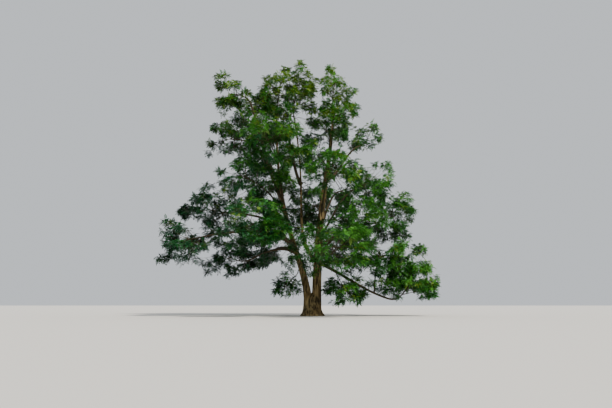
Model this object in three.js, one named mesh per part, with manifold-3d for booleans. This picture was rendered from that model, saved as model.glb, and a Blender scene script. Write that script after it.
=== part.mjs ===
// A free-standing broadleaved tree, an ash, 15.7 m tall and 16.5 m across: a flared foot that forks low
// into two stems, a third stem that leaves the right one higher up, and boughs that each end in a mass of
// foliage. Millimetres, +Z up, +X to the right and +Y to the back as seen from the front. The origin is
// the middle of the flat cut at ground level.
import * as THREE from "three";
import { mergeVertices } from "three/addons/utils/BufferGeometryUtils.js";
import Module from "manifold-3d";

const wasm = await Module();
wasm.setup();

// The running gap that keeps neighbouring solids apart.
const gap = 0.3;

// The foot: one flared base under both stems, cut flat at the ground and at the fork.
const foot = {
  forkHeight: 1500,
  crotchHeight: 1240,
  groundRadii: [690, 600],
  waistRadii: [490, 340],
  crotchShare: 0.62,
  stepPower: 1.5,
  flareHeight: 330,
  rootRidges: 5,
  ridgeShare: 0.17,
  ridgeTurn: 0.7,
};

// Stems: heading in degrees from +X towards +Y, reach and rise from the foot of the stem to its tip, the
// slope in degrees at which it starts and ends, and spring and settle, the shares of its length over which
// those two last.
const stems = {
  right_stem: {
    footX: 270, heading: 0, reach: 1000, rise: 11800, starts: 90, ends: 90, spring: 0.6, settle: 0.22,
    radii: [300, 60],
  },
  left_stem: {
    footX: -270, heading: 184, reach: 1900, rise: 11800, starts: 96, ends: 90, spring: 0.26, settle: 0.62,
    radii: [280, 56],
  },
  middle_stem: {
    from: "right_stem", height: 3150, heading: 178, reach: 1420, rise: 8800, starts: 40, ends: 80,
    spring: 0.24, settle: 0.6, radii: [120, 44],
  },
};

// Masses of foliage and the boughs that carry them. Each leaves its stem at a height (or a share along a
// bough) and heads out; reach and rise go to the middle of the mass. size holds the half length along the
// heading, the half width across it and the half height. enter says how far behind and below its middle
// the bough comes in, as shares of those halves. A mass with no height sits on the tip of its stem, and
// reach and rise start there.
const masses = {
  top: { from: "middle_stem", heading: 0, reach: 200, rise: 1750, size: [1450, 1650, 2150] },
  crown_left: { from: "left_stem", heading: 281, reach: 950, rise: 1200, size: [1600, 1350, 2050] },
  crown_right: { from: "right_stem", heading: -89, reach: 950, rise: 1250, size: [1600, 1250, 2050] },
  upper_right: {
    from: "right_stem", height: 9300, heading: -64, reach: 1500, rise: 2450, size: [1100, 1400, 1850],
    starts: 60, ends: 78,
  },
  right_tuft: {
    from: "right_stem", height: 8100, heading: 18, reach: 2850, rise: 3100, size: [1000, 1000, 950],
    starts: 24, ends: 22, enter: [0.55, 0.75],
  },
  upper_left: {
    from: "left_stem", height: 8000, heading: -165, reach: 2900, rise: 5200, size: [1300, 1300, 1500],
    starts: 50, ends: 68,
  },
  left_shoulder: {
    from: "left_stem", height: 7100, heading: 153, reach: 3700, rise: 4000, size: [1700, 1800, 1400],
    starts: 52, ends: 30,
  },
  front_left_high: {
    from: "left_stem", height: 6600, heading: 256, reach: 3200, rise: 3050, size: [1900, 2250, 1900],
    starts: 55, ends: 35,
  },
  left_upper: {
    from: "left_stem", height: 5800, heading: -135, reach: 3250, rise: 1950, size: [1700, 1900, 1450],
    starts: 50, ends: 25,
  },
  left_mid: {
    from: "left_stem", height: 4900, heading: 164, reach: 5350, rise: 1700, size: [2050, 2100, 1450],
    starts: 42, ends: 5,
  },
  far_left: {
    from: "left_stem", height: 4200, heading: -173, reach: 6450, rise: 150, size: [1900, 2100, 1500],
    starts: 32, ends: -12, enter: [0.78, -0.22],
  },
  left_low: {
    from: "left_stem", height: 3500, heading: 154, reach: 4850, rise: 300, size: [2150, 2000, 1450],
    starts: 50, ends: -25,
  },
  inner_left: {
    from: "left_stem", height: 5400, heading: 233, reach: 1650, rise: 1700, size: [1750, 1750, 1800],
    starts: 50, ends: 60, enter: [0.3, 0.5],
  },
  front_left: {
    from: "left_stem", height: 3950, heading: 244, reach: 4850, rise: 900, size: [2100, 2100, 1550],
    starts: 40, ends: -5,
  },
  hang_left: {
    from: "left_stem", height: 2850, heading: 206, reach: 800, rise: -950, size: [1000, 1000, 900],
    starts: 5, ends: -30, enter: [0.45, -0.5], radii: [32, 22],
  },
  front_right_high: {
    from: "right_stem", height: 6000, heading: -82, reach: 3650, rise: 2050, size: [2000, 2200, 1550],
    starts: 45, ends: 15,
  },
  right_upper: {
    from: "right_stem", height: 4650, heading: -32, reach: 3350, rise: 2850, size: [1800, 2000, 1750],
    starts: 42, ends: 36,
  },
  right_mid: {
    from: "right_stem", height: 4000, heading: 19, reach: 4800, rise: 2100, size: [1750, 2100, 2000],
    starts: 40, ends: 8,
  },
  inner_right: {
    from: "right_stem", height: 3600, heading: -49, reach: 3550, rise: 1600, size: [1800, 1800, 1650],
    starts: 40, ends: 25,
  },
  front_low: {
    from: "right_stem", height: 2950, heading: -80, reach: 5050, rise: 750, size: [2100, 2100, 1450],
    starts: 32, ends: -8,
  },
  right_low: {
    from: "right_stem", height: 3150, heading: 4, reach: 5450, rise: -1000, size: [1950, 1900, 1600],
    starts: -24, ends: -17, enter: [0.62, 0.72],
  },
  right_low_inner: {
    from: "right_low", along: 0.8, heading: -85, reach: 1700, rise: 2150, size: [1750, 1900, 1450],
    starts: 50, ends: 42, enter: [0.6, 0.55], radii: [48, 34],
  },
  hang_right: {
    from: "right_low", along: 0.2, heading: -40, reach: 1000, rise: -1250, size: [1400, 1400, 1150],
    starts: -20, ends: -60, enter: [0.35, -0.6], radii: [34, 24],
  },
  back_centre: {
    from: "right_stem", height: 6000, heading: 100, reach: 2400, rise: 900, size: [1850, 1850, 2200],
    starts: 40, onTrunk: true, footRadius: 55,
  },
  back_low_right: {
    from: "right_stem", height: 3400, heading: 68, reach: 5600, rise: 1300, size: [2200, 2200, 1600],
    starts: 38, ends: -5,
  },
  back_low_left: {
    from: "left_stem", height: 3250, heading: 118, reach: 5500, rise: 1300, size: [2200, 2200, 1650],
    starts: 55, ends: -8,
  },
  back_left: {
    from: "left_stem", height: 5300, heading: 116, reach: 4400, rise: 3350, size: [2300, 2450, 2200],
    starts: 48, ends: 15,
  },
  back_right: {
    from: "right_stem", height: 5300, heading: 63, reach: 4600, rise: 3150, size: [2300, 2450, 2200],
    starts: 45, ends: 15,
  },
  back_high_left: {
    from: "middle_stem", height: 7900, heading: 137, reach: 3450, rise: 4700, size: [2100, 2100, 2000],
    starts: 55, ends: 40,
  },
  back_high_right: {
    from: "right_stem", height: 8900, heading: 75, reach: 2650, rise: 3300, size: [1900, 1900, 2000],
    starts: 50, ends: 45,
  },
};

// The growth rule's sizes: shares are of a mass's size, a limb's length or a blade's length, angles are in
// degrees.
const growth = {
  firstSeed: 1009,
  seedStep: 37,
  enter: [0.78, 0.25],
  boughRadiusPerReach: 0.0155,
  boughRadiusFloor: 34,
  boughTipShare: 0.52,
  taperPower: 0.85,
  stemTipRadius: 22,
  stemPast: 0.25,
  stemSpring: 0.4,
  twigsAt: [0.16, 0.3, 0.5, 0.68, 0.84],
  tipAt: 0.98,
  twigTurn: 137,
  twigJitter: [-25, 25],
  twigSpread: [50, 84],
  tipSpread: [0, 8],
  twigShrink: 0.06,
  twigRadiusShare: 0.6,
  twigTaper: 0.5,
  twigLeast: 160,
  twigMost: 1500,
  pairAt: [0.62],
  pairsAt: [0.4, 0.78],
  pairStagger: 0.075,
  pairTurn: 90,
  twoPairsFrom: 620,
  bladeLength: [1300, 1850],
  bladeLeast: 600,
  bladeMostShare: 0.8,
  bladeShrink: 0.1,
  bladeWidthShare: 0.66,
  bladeThickShare: 0.026,
  bladeWidest: 0.46,
  bladeRootClear: 0.1,
  keelAt: 0.2,
  bladeDroop: 0.06,
  bladeSpread: [44, 74],
  bladeJitter: [-20, 20],
  roll: [-65, 65],
  tries: 12,
  edgeShare: 0.985,
  cellInset: 18,
  ballSpacing: 70,
  ballsSkipped: 2,
  nearby: 600,
  limbClearance: 95,
  twigClearance: 45,
};

// Points over a blade, by the share along it and the share across it, at which it is tried against the
// limbs.
const faceTests = [
  [0.15, 0], [0.3, 0], [0.46, 0], [0.62, 0], [0.8, 0],
  [0.28, -0.5], [0.46, -0.5], [0.7, -0.5],
  [0.28, 0.5], [0.46, 0.5], [0.7, 0.5],
];

// How many sides and lengths the faceted solids have.
const facets = { foot: [20, 5], stem: [8, 8], bough: [6, 4], massStem: [4, 3] };

// The corners of a twig's three-sided section: across it and off its face.
const twigSection = [[0.87, 0.5], [-0.87, 0.5], [0, -1]];

// Farther than the tree reaches.
const beyond = 20000;

const rad = THREE.MathUtils.degToRad;
const up = new THREE.Vector3(0, 0, 1);
const tiny = 1e-6;
const weldWithin = 0.01;

// The direction with that heading and slope, in degrees.
function direction(heading, slope) {
  const level = Math.cos(rad(slope));
  const rise = Math.sin(rad(slope));
  return new THREE.Vector3(level * Math.cos(rad(heading)), level * Math.sin(rad(heading)), rise);
}

// A repeatable stream of numbers from 0 to 1, by the minimal standard rule.
function seeded(seed) {
  let state = seed;
  return () => {
    state = (state * 16807) % 2147483647;
    return state / 2147483647;
  };
}

function between(draw, [low, high]) {
  return low + (high - low) * draw();
}

// The level direction square to another one, or +Y where that one stands upright.
function levelSide(along) {
  const side = new THREE.Vector3().crossVectors(up, along);
  if (side.lengthSq() < tiny) side.set(0, 1, 0);
  return side.normalize();
}

// A limb's centre line lies in one upright plane, that of its heading.
function makeLimb(name, start, end, spec, radii, [sides, steps]) {
  const { heading, starts, ends, spring = 1 / 3, settle = 1 / 3 } = spec;
  const length = start.distanceTo(end);
  const curve = new THREE.CubicBezierCurve3(
    start,
    start.clone().addScaledVector(direction(heading, starts), length * spring),
    end.clone().addScaledVector(direction(heading, ends), -length * settle),
    end,
  );
  return { name, curve, heading, radii, sides, steps };
}

function limbRadius(limb, share) {
  return limb.radii[0] + (limb.radii[1] - limb.radii[0]) * share ** growth.taperPower;
}

// The share along a stem at which its centre line reaches that height.
function shareAtHeight(limb, height) {
  let low = 0;
  let high = 1;
  while (high - low > tiny) {
    const middle = (low + high) / 2;
    if (limb.curve.getPoint(middle).z < height) low = middle;
    else high = middle;
  }
  return (low + high) / 2;
}

// A closed geometry as a solid.
function solidOf(geometry) {
  geometry.deleteAttribute("normal");
  geometry.deleteAttribute("uv");
  const merged = mergeVertices(geometry, weldWithin);
  return new wasm.Manifold(
    new wasm.Mesh({
      numProp: 3,
      vertProperties: merged.getAttribute("position").array,
      triVerts: new Uint32Array(merged.index.array),
    }),
  );
}

// A tapering limb: a cylinder bent along the limb's centre line, swollen by extra all round.
function limbSolid(limb, extra = 0) {
  const geometry = new THREE.CylinderGeometry(1, 1, 1, limb.sides, limb.steps);
  const side = direction(limb.heading + 90, 0);
  const place = geometry.getAttribute("position");
  for (let i = 0; i < place.count; i += 1) {
    const share = THREE.MathUtils.clamp(place.getY(i) + 0.5, 0, 1);
    const out = new THREE.Vector3().crossVectors(limb.curve.getTangent(share), side);
    const radius = limbRadius(limb, share) + extra;
    const point = limb.curve
      .getPoint(share)
      .addScaledVector(out, place.getX(i) * radius)
      .addScaledVector(side, place.getZ(i) * radius);
    place.setXYZ(i, point.x, point.y, point.z);
  }
  return solidOf(geometry);
}

// A slab across everything between two heights.
function slab(low, high) {
  return solidOf(new THREE.BoxGeometry(beyond, beyond, high - low).translate(0, 0, (low + high) / 2));
}

// The flared foot: an upright drum whose outline spreads into root ridges towards the ground, and narrows
// to the crotch between the stems.
function footSolid() {
  const geometry = new THREE.CylinderGeometry(1, 1, 1, ...facets.foot);
  const place = geometry.getAttribute("position");
  for (let i = 0; i < place.count; i += 1) {
    const share = (place.getY(i) + 0.5) ** foot.stepPower;
    const height = share * foot.crotchHeight;
    const flare = Math.exp(-height / foot.flareHeight);
    const angle = Math.atan2(place.getZ(i), place.getX(i));
    const ridge = 1 + foot.ridgeShare * flare * Math.cos(foot.rootRidges * angle + foot.ridgeTurn);
    const narrow = share < 1 ? ridge : foot.crotchShare;
    const [wide, deep] = foot.waistRadii.map((waist, axis) =>
      THREE.MathUtils.lerp(waist, foot.groundRadii[axis], flare),
    );
    place.setXYZ(i, place.getX(i) * wide * narrow, -place.getZ(i) * deep * narrow, height);
  }
  return solidOf(geometry);
}

// Builds every limb's line, stems first and then boughs, and works out where each mass lies.
const limbs = {};
for (const [name, spec] of Object.entries(stems)) {
  const parent = limbs[spec.from];
  const start = parent
    ? parent.curve.getPoint(shareAtHeight(parent, spec.height))
    : new THREE.Vector3(spec.footX, 0, 0);
  const end = start.clone().addScaledVector(direction(spec.heading, 0), spec.reach);
  end.z += spec.rise;
  limbs[name] = makeLimb(name, start, end, spec, spec.radii, facets.stem);
  limbs[name].parent = parent;
}

// Places one mass and, unless it sits on a stem's tip or on the trunk, the bough that ends where it enters
// the mass.
function placeMass([name, spec]) {
  const parent = limbs[spec.from];
  const onTip = spec.height === undefined && spec.along === undefined;
  const share = onTip ? 1 : (spec.along ?? shareAtHeight(parent, spec.height));
  const root = parent.curve.getPoint(share);
  const out = direction(spec.heading, 0);
  const centre = root.clone().addScaledVector(out, spec.reach).addScaledVector(up, spec.rise);
  const mass = { ...spec, name, centre, axes: [out, direction(spec.heading + 90, 0), up] };
  if (mass.onTrunk) {
    return { ...mass, trunk: parent, start: root, arrival: direction(mass.heading, mass.starts) };
  }
  if (onTip) {
    mass.limb = parent;
  } else {
    const [behind, below] = mass.enter ?? growth.enter;
    const end = centre.clone()
      .addScaledVector(out, -behind * mass.size[0])
      .addScaledVector(up, -below * mass.size[2]);
    const footRadius = growth.boughRadiusFloor + growth.boughRadiusPerReach * root.distanceTo(end);
    const radii = mass.radii ?? [footRadius, footRadius * growth.boughTipShare];
    mass.limb = makeLimb(`bough_${name}`, root, end, mass, radii, facets.bough);
    mass.limb.parent = parent;
    limbs[name] = mass.limb;
  }
  mass.arrival = mass.limb.curve.getTangent(1);
  mass.start = mass.limb.curve.getPoint(1).addScaledVector(mass.arrival, gap);
  mass.footRadius = mass.limb.radii[1];
  return mass;
}
const massList = Object.entries(masses).map(placeMass);

// How far a mass reaches from its middle along a direction.
function support(mass, along) {
  return Math.hypot(...mass.axes.map((axis, i) => mass.size[i] * axis.dot(along)));
}

// Where two masses would meet, a plane between them keeps each to its own side.
for (const mass of massList) {
  mass.planes = [];
  for (const other of massList) {
    if (other === mass) continue;
    const across = other.centre.clone().sub(mass.centre);
    const apart = across.length();
    across.normalize();
    const [own, theirs] = [support(mass, across), support(other, across)];
    if (own + theirs > apart) {
      const reach = (apart * own) / (own + theirs) - growth.cellInset;
      mass.planes.push({ normal: across, offset: mass.centre.dot(across) + reach });
    }
  }
}

// The distance from a point inside a mass's space to its edge, along a direction.
function room(mass, point, along) {
  const from = point.clone().sub(mass.centre);
  let a = 0;
  let b = 0;
  let c = -1;
  mass.axes.forEach((axis, i) => {
    const p = from.dot(axis) / mass.size[i];
    const d = along.dot(axis) / mass.size[i];
    a += d * d;
    b += p * d;
    c += p * p;
  });
  let reach = c > 0 ? 0 : (-b + Math.sqrt(b * b - a * c)) / a;
  for (const plane of mass.planes) {
    const closing = along.dot(plane.normal);
    const left = plane.offset - point.dot(plane.normal);
    if (left < 0) return 0;
    if (closing > tiny) reach = Math.min(reach, left / closing);
  }
  return reach;
}

function insideMass(mass, point) {
  const from = point.clone().sub(mass.centre);
  const shape = mass.axes.reduce((sum, axis, i) => sum + (from.dot(axis) / mass.size[i]) ** 2, 0);
  return shape <= 1 && mass.planes.every((plane) => point.dot(plane.normal) < plane.offset);
}

// The stem inside a mass: it carries on from its bough, through the middle and a little past it.
for (const mass of massList) {
  const onward = mass.centre.clone().sub(mass.start).normalize();
  const far = mass.centre.clone().addScaledVector(onward, support(mass, onward) * growth.stemPast);
  mass.stem = new THREE.QuadraticBezierCurve3(
    mass.start,
    mass.start.clone().addScaledVector(mass.arrival, mass.start.distanceTo(far) * growth.stemSpring),
    far,
  );
}

function massStemRadius(mass, share) {
  return mass.footRadius + (growth.stemTipRadius - mass.footRadius) * share;
}

// Balls along every limb and every mass's own stem, which twigs and sprays of other nodes keep clear of.
const balls = [];
function addBalls(owner, curve, radiusAt) {
  const count = Math.ceil(curve.getLength() / growth.ballSpacing);
  for (let i = 0; i <= count; i += 1) {
    balls.push({ owner, centre: curve.getPoint(i / count), radius: radiusAt(i / count) });
  }
}
for (const limb of Object.values(limbs)) {
  addBalls(limb.name, limb.curve, (share) => limbRadius(limb, share));
}
for (const mass of massList) {
  addBalls(mass.name, mass.stem, (share) => massStemRadius(mass, share));
}

function touchesLimb(near, points, clearance) {
  return points.some((point) =>
    near.some((ball) => ball.centre.distanceTo(point) < ball.radius + clearance),
  );
}

// Turns a direction away from an axis: spread degrees off it, at that angle round it.
function spreadFrom(axis, spread, round) {
  const side = levelSide(axis);
  const lift = new THREE.Vector3().crossVectors(side, axis);
  return axis
    .clone()
    .multiplyScalar(Math.cos(rad(spread)))
    .addScaledVector(side, Math.sin(rad(spread)) * Math.cos(rad(round)))
    .addScaledVector(lift, Math.sin(rad(spread)) * Math.sin(rad(round)));
}

// A point on a blade, by the share along it from its root and the share across it, lifted off its face.
function bladePoint(blade, share, across, lift = 0) {
  const bend = share < growth.bladeWidest ? share / 2 : share - growth.bladeWidest / 2;
  const drop = (growth.bladeDroop * bend) / (1 - growth.bladeWidest / 2);
  return blade.root.clone()
    .addScaledVector(blade.along, blade.length * share)
    .addScaledVector(blade.side, (blade.length * growth.bladeWidthShare * across) / 2)
    .addScaledVector(blade.normal, blade.length * (lift - drop));
}

function makeBlade(root, along, length, roll) {
  const side = levelSide(along).applyAxisAngle(along, rad(roll));
  const blade = { root, along, side, length, normal: new THREE.Vector3().crossVectors(along, side) };
  const left = bladePoint(blade, growth.bladeWidest, -1);
  const right = bladePoint(blade, growth.bladeWidest, 1);
  const tip = bladePoint(blade, 1, 0);
  // Crossings are looked for a little way out from the root, where blades stand apart.
  const near = bladePoint(blade, growth.bladeRootClear, 0);
  blade.corners = [tip, left, right];
  blade.faces = [[near, left, tip], [near, tip, right]];
  blade.edges = [[near, left], [left, tip], [tip, right], [right, near]];
  return blade;
}

const ray = new THREE.Ray();
const meeting = new THREE.Vector3();

function edgeCutsFace([from, to], [a, b, c]) {
  ray.origin.copy(from);
  ray.direction.subVectors(to, from).normalize();
  const met = ray.intersectTriangle(a, b, c, false, meeting);
  return met !== null && from.distanceTo(meeting) < from.distanceTo(to);
}

function bladesCross(one, other) {
  return [[one, other], [other, one]].some(([a, b]) =>
    a.edges.some((edge) => b.faces.some((face) => edgeCutsFace(edge, face))),
  );
}

function bladesCut(blades, edge) {
  return blades.some((blade) => blade.faces.some((face) => edgeCutsFace(edge, face)));
}

// Whether a blade keeps to its mass's space, clear of limbs and of the twigs and blades that are there
// already.
function bladeFits(mass, near, twigs, blades, blade) {
  if (!blade.corners.every((point) => insideMass(mass, point))) return false;
  const over = [...blade.corners, ...faceTests.map(([share, across]) => bladePoint(blade, share, across))];
  const free = !twigs.some((twig) => bladesCut([blade], [twig.root, twig.end]))
    && !blades.some((other) => bladesCross(blade, other));
  return free && !touchesLimb(near, over, growth.limbClearance);
}

// Grows one mass: nodes up its stem with a pair of twigs each, a blade at the end of each twig and pairs
// along it.
function growMass(mass, seed) {
  const draw = seeded(seed);
  const farthest = Math.max(...mass.size) + growth.nearby;
  const near = balls.filter(
    (ball) => ball.owner !== mass.name && ball.centre.distanceTo(mass.centre) < farthest,
  );
  const twigs = [];
  const blades = [];

  function addSideBlade(root, axis, round) {
    for (let attempt = 0; attempt < growth.tries; attempt += 1) {
      const spread = between(draw, growth.bladeSpread);
      const along = spreadFrom(axis, spread, round + between(draw, growth.bladeJitter));
      const wanted = between(draw, growth.bladeLength) * (1 - growth.bladeShrink * attempt);
      const length = Math.min(wanted, room(mass, root, along) * growth.edgeShare);
      const blade = makeBlade(root, along, length, between(draw, growth.roll));
      if (length >= growth.bladeLeast && bladeFits(mass, near, twigs, blades, blade)) {
        blades.push(blade);
        return;
      }
    }
  }

  function addTwig(share, spread, round) {
    const root = mass.stem.getPoint(share);
    const axis = mass.stem.getTangent(share);
    const radius = massStemRadius(mass, share) * growth.twigRadiusShare;
    for (let attempt = 0; attempt < growth.tries; attempt += 1) {
      const along = spreadFrom(axis, between(draw, spread), round + between(draw, growth.twigJitter));
      const reach = room(mass, root, along) * growth.edgeShare * (1 - growth.twigShrink * attempt);
      const bladeLength = Math.min(between(draw, growth.bladeLength), reach * growth.bladeMostShare);
      const length = Math.min(reach - bladeLength, growth.twigMost);
      const end = root.clone().addScaledVector(along, length);
      const blade = makeBlade(end, along, bladeLength, between(draw, growth.roll));
      const steps = Math.ceil(length / growth.ballSpacing);
      const line = [];
      for (let i = growth.ballsSkipped; i <= steps; i += 1) line.push(root.clone().lerp(end, i / steps));
      const clear = length >= growth.twigLeast && bladeLength >= growth.bladeLeast
        && bladeFits(mass, near, twigs, blades, blade) && !bladesCut(blades, [root, end])
        && !touchesLimb(near, line, growth.twigClearance);
      if (clear) {
        blade.onTwig = true;
        blades.push(blade);
        twigs.push({ root, end, blade, radius });
        const pairs = length < growth.twoPairsFrom ? growth.pairAt : growth.pairsAt;
        pairs.forEach((pairAt, i) => {
          for (const half of [0, 1]) {
            const place = root.clone().lerp(end, pairAt + growth.pairStagger * half);
            addSideBlade(place, along, 180 * half + growth.pairTurn * i);
          }
        });
        return;
      }
    }
    addSideBlade(root, axis, round);
  }

  growth.twigsAt.forEach((share, i) => addTwig(share, growth.twigSpread, growth.twigTurn * i));
  addTwig(growth.tipAt, growth.tipSpread, 0);
  return { twigs, blades };
}

// A three-sided solid through a row of rings, each given by its three corners, from its tip to its root. A
// ring whose corners coincide is a point, as the first is; so is the last, unless rooted says otherwise.
function ringSolid(rings, rooted) {
  const geometry = new THREE.CylinderGeometry(0, rooted ? 1 : 0, 1, 3, rings.length - 1);
  const place = geometry.getAttribute("position");
  const root = rings.at(-1);
  const middle = new THREE.Vector3().add(root[0]).add(root[1]).add(root[2]).divideScalar(3);
  const wall = 4 * rings.length;
  for (let i = 0; i < place.count; i += 1) {
    let point = middle;
    if (i < wall) point = rings[Math.floor(i / 4)][(i % 4) % 3];
    else if (i >= wall + 3) point = root[((i - wall - 3) % 4) % 3];
    place.setXYZ(i, point.x, point.y, point.z);
  }
  return solidOf(geometry);
}

// The corners of a blade's tip and of the ring where it is widest, its keel nearer the root.
function bladeRings(blade) {
  const tip = blade.corners[0];
  const keel = bladePoint(blade, growth.keelAt, 0, -growth.bladeThickShare);
  return [[tip, tip, tip], [blade.corners[2], blade.corners[1], keel]];
}

function bladeSolid(blade) {
  return ringSolid([...bladeRings(blade), [blade.root, blade.root, blade.root]], false);
}

// A twig and the blade at its end, in one taper.
function twigSolid({ root, end, blade, radius }) {
  const ring = (centre, wide) =>
    twigSection.map(([across, lift]) =>
      centre.clone().addScaledVector(blade.side, across * wide).addScaledVector(blade.normal, lift * wide),
    );
  return ringSolid([...bladeRings(blade), ring(end, radius * growth.twigTaper), ring(root, radius)], true);
}

// The stem inside a mass, from its bough's tip.
function massStemSolid(mass) {
  const geometry = new THREE.CylinderGeometry(1, 1, 1, ...facets.massStem);
  const place = geometry.getAttribute("position");
  const side = levelSide(mass.arrival);
  for (let i = 0; i < place.count; i += 1) {
    const share = THREE.MathUtils.clamp(place.getY(i) + 0.5, 0, 1);
    const tangent = mass.stem.getTangent(share);
    const out = new THREE.Vector3().crossVectors(tangent, side).normalize();
    const across = new THREE.Vector3().crossVectors(out, tangent);
    const radius = massStemRadius(mass, share);
    const point = mass.stem
      .getPoint(share)
      .addScaledVector(out, place.getX(i) * radius)
      .addScaledVector(across, place.getZ(i) * radius);
    place.setXYZ(i, point.x, point.y, point.z);
  }
  return solidOf(geometry);
}

// The largest body of a solid, with loose scraps and sealed hollows left out.
function wholeBody(solid) {
  return solid.decompose().reduce((best, body) => (body.volume() > best.volume() ? body : best));
}

function massSolid(mass, seed) {
  const { twigs, blades } = growMass(mass, seed);
  let solid = massStemSolid(mass);
  for (const twig of twigs) solid = solid.add(twigSolid(twig));
  for (const blade of blades.filter((one) => !one.onTwig)) solid = solid.add(bladeSolid(blade));
  if (mass.onTrunk) solid = solid.subtract(limbSolid(mass.trunk, gap));
  return wholeBody(solid);
}

const bark = new THREE.MeshStandardMaterial({ color: 0x6e6250, roughness: 0.95, metalness: 0 });
const youngBark = new THREE.MeshStandardMaterial({ color: 0x5f5846, roughness: 0.9, metalness: 0 });
const leaf = new THREE.MeshStandardMaterial({ color: 0x35571f, roughness: 0.6, metalness: 0 });

// A named mesh of a solid, placed by its anchor point within its group.
function meshOf(name, solid, material, anchor, groupOrigin) {
  const made = solid.getMesh();
  const values = new Float32Array(made.numVert * 3);
  for (let i = 0; i < made.numVert; i += 1) {
    values[3 * i] = made.vertProperties[made.numProp * i] - anchor.x;
    values[3 * i + 1] = made.vertProperties[made.numProp * i + 1] - anchor.y;
    values[3 * i + 2] = made.vertProperties[made.numProp * i + 2] - anchor.z;
  }
  const geometry = new THREE.BufferGeometry();
  geometry.setAttribute("position", new THREE.BufferAttribute(values, 3));
  geometry.setIndex(new THREE.BufferAttribute(made.triVerts, 1));
  const mesh = new THREE.Mesh(geometry, material);
  mesh.name = name;
  mesh.position.copy(anchor).sub(groupOrigin);
  return mesh;
}

const tree = new THREE.Group();
const origin = new THREE.Vector3();
const fork = foot.forkHeight;
const rightStem = limbSolid(limbs.right_stem);
const leftStem = limbSolid(limbs.left_stem).subtract(limbSolid(limbs.right_stem, gap));
const aboveFork = slab(fork + gap, beyond);

const trunk = footSolid()
  .add(rightStem.intersect(slab(0, fork)))
  .add(limbSolid(limbs.left_stem).intersect(slab(0, fork)));
tree.add(meshOf("trunk", wholeBody(trunk), bark, origin, origin));

const stemSolids = {
  right_stem: rightStem.intersect(aboveFork),
  left_stem: leftStem.intersect(aboveFork),
  middle_stem: limbSolid(limbs.middle_stem).subtract(limbSolid(limbs.right_stem, gap)),
};
for (const [name, solid] of Object.entries(stemSolids)) {
  tree.add(meshOf(name, wholeBody(solid), bark, limbs[name].curve.getPoint(0), origin));
}

massList.forEach((mass, index) => {
  const branch = new THREE.Group();
  const start = mass.limb ? mass.limb.curve.getPoint(0) : mass.start;
  branch.position.copy(start);
  if (mass.limb?.name.startsWith("bough_")) {
    const solid = limbSolid(mass.limb).subtract(limbSolid(mass.limb.parent, gap));
    branch.add(meshOf(mass.limb.name, wholeBody(solid), youngBark, start, start));
  }
  const foliage = massSolid(mass, growth.firstSeed + growth.seedStep * index);
  branch.add(meshOf(`foliage_${mass.name}`, foliage, leaf, mass.start, start));
  tree.add(branch);
});

export default tree;
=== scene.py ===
import math

import bpy
import numpy as np
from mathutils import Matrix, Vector, noise


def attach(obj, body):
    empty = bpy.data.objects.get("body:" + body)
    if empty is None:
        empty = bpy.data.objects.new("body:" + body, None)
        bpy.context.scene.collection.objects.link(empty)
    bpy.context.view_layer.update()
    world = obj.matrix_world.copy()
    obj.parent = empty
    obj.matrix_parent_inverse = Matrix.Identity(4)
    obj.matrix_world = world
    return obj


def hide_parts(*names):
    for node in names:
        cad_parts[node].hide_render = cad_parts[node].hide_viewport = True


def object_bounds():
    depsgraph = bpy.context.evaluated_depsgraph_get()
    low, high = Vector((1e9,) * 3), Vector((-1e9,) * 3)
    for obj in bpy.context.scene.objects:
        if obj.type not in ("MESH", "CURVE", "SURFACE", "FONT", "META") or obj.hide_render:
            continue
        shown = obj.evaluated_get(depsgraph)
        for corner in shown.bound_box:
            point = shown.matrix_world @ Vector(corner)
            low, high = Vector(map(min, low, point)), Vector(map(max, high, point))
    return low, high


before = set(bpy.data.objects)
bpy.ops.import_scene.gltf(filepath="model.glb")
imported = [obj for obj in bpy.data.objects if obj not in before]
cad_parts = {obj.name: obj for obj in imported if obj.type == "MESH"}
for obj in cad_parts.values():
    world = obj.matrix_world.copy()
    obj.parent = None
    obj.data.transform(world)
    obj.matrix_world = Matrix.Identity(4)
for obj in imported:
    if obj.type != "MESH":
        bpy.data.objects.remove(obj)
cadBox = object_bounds()
boxLow, boxHigh = np.array(cadBox[0]), np.array(cadBox[1])

upward = np.array([0.0, 0.0, 1.0])
tiny = 1e-6
gap = 0.0003  # the running gap between neighbouring solids


# Lines that limbs and twigs follow

# Stems: heading in degrees from +X towards +Y, reach and rise from foot to tip, the slopes at which the
# stem starts and ends, and the shares of its length over which those two last.
stems = {
    "right_stem": {
        "footX": 0.27, "heading": 0, "reach": 1.0, "rise": 11.8, "starts": 90, "ends": 90,
        "spring": 0.6, "settle": 0.22, "radii": (0.3, 0.06),
    },
    "left_stem": {
        "footX": -0.27, "heading": 184, "reach": 1.9, "rise": 11.8, "starts": 96, "ends": 90,
        "spring": 0.26, "settle": 0.62, "radii": (0.28, 0.056),
    },
    "middle_stem": {
        "from": "right_stem", "height": 3.15, "heading": 178, "reach": 1.42, "rise": 8.8, "starts": 40,
        "ends": 80, "spring": 0.24, "settle": 0.6, "radii": (0.12, 0.044),
    },
}

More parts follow.
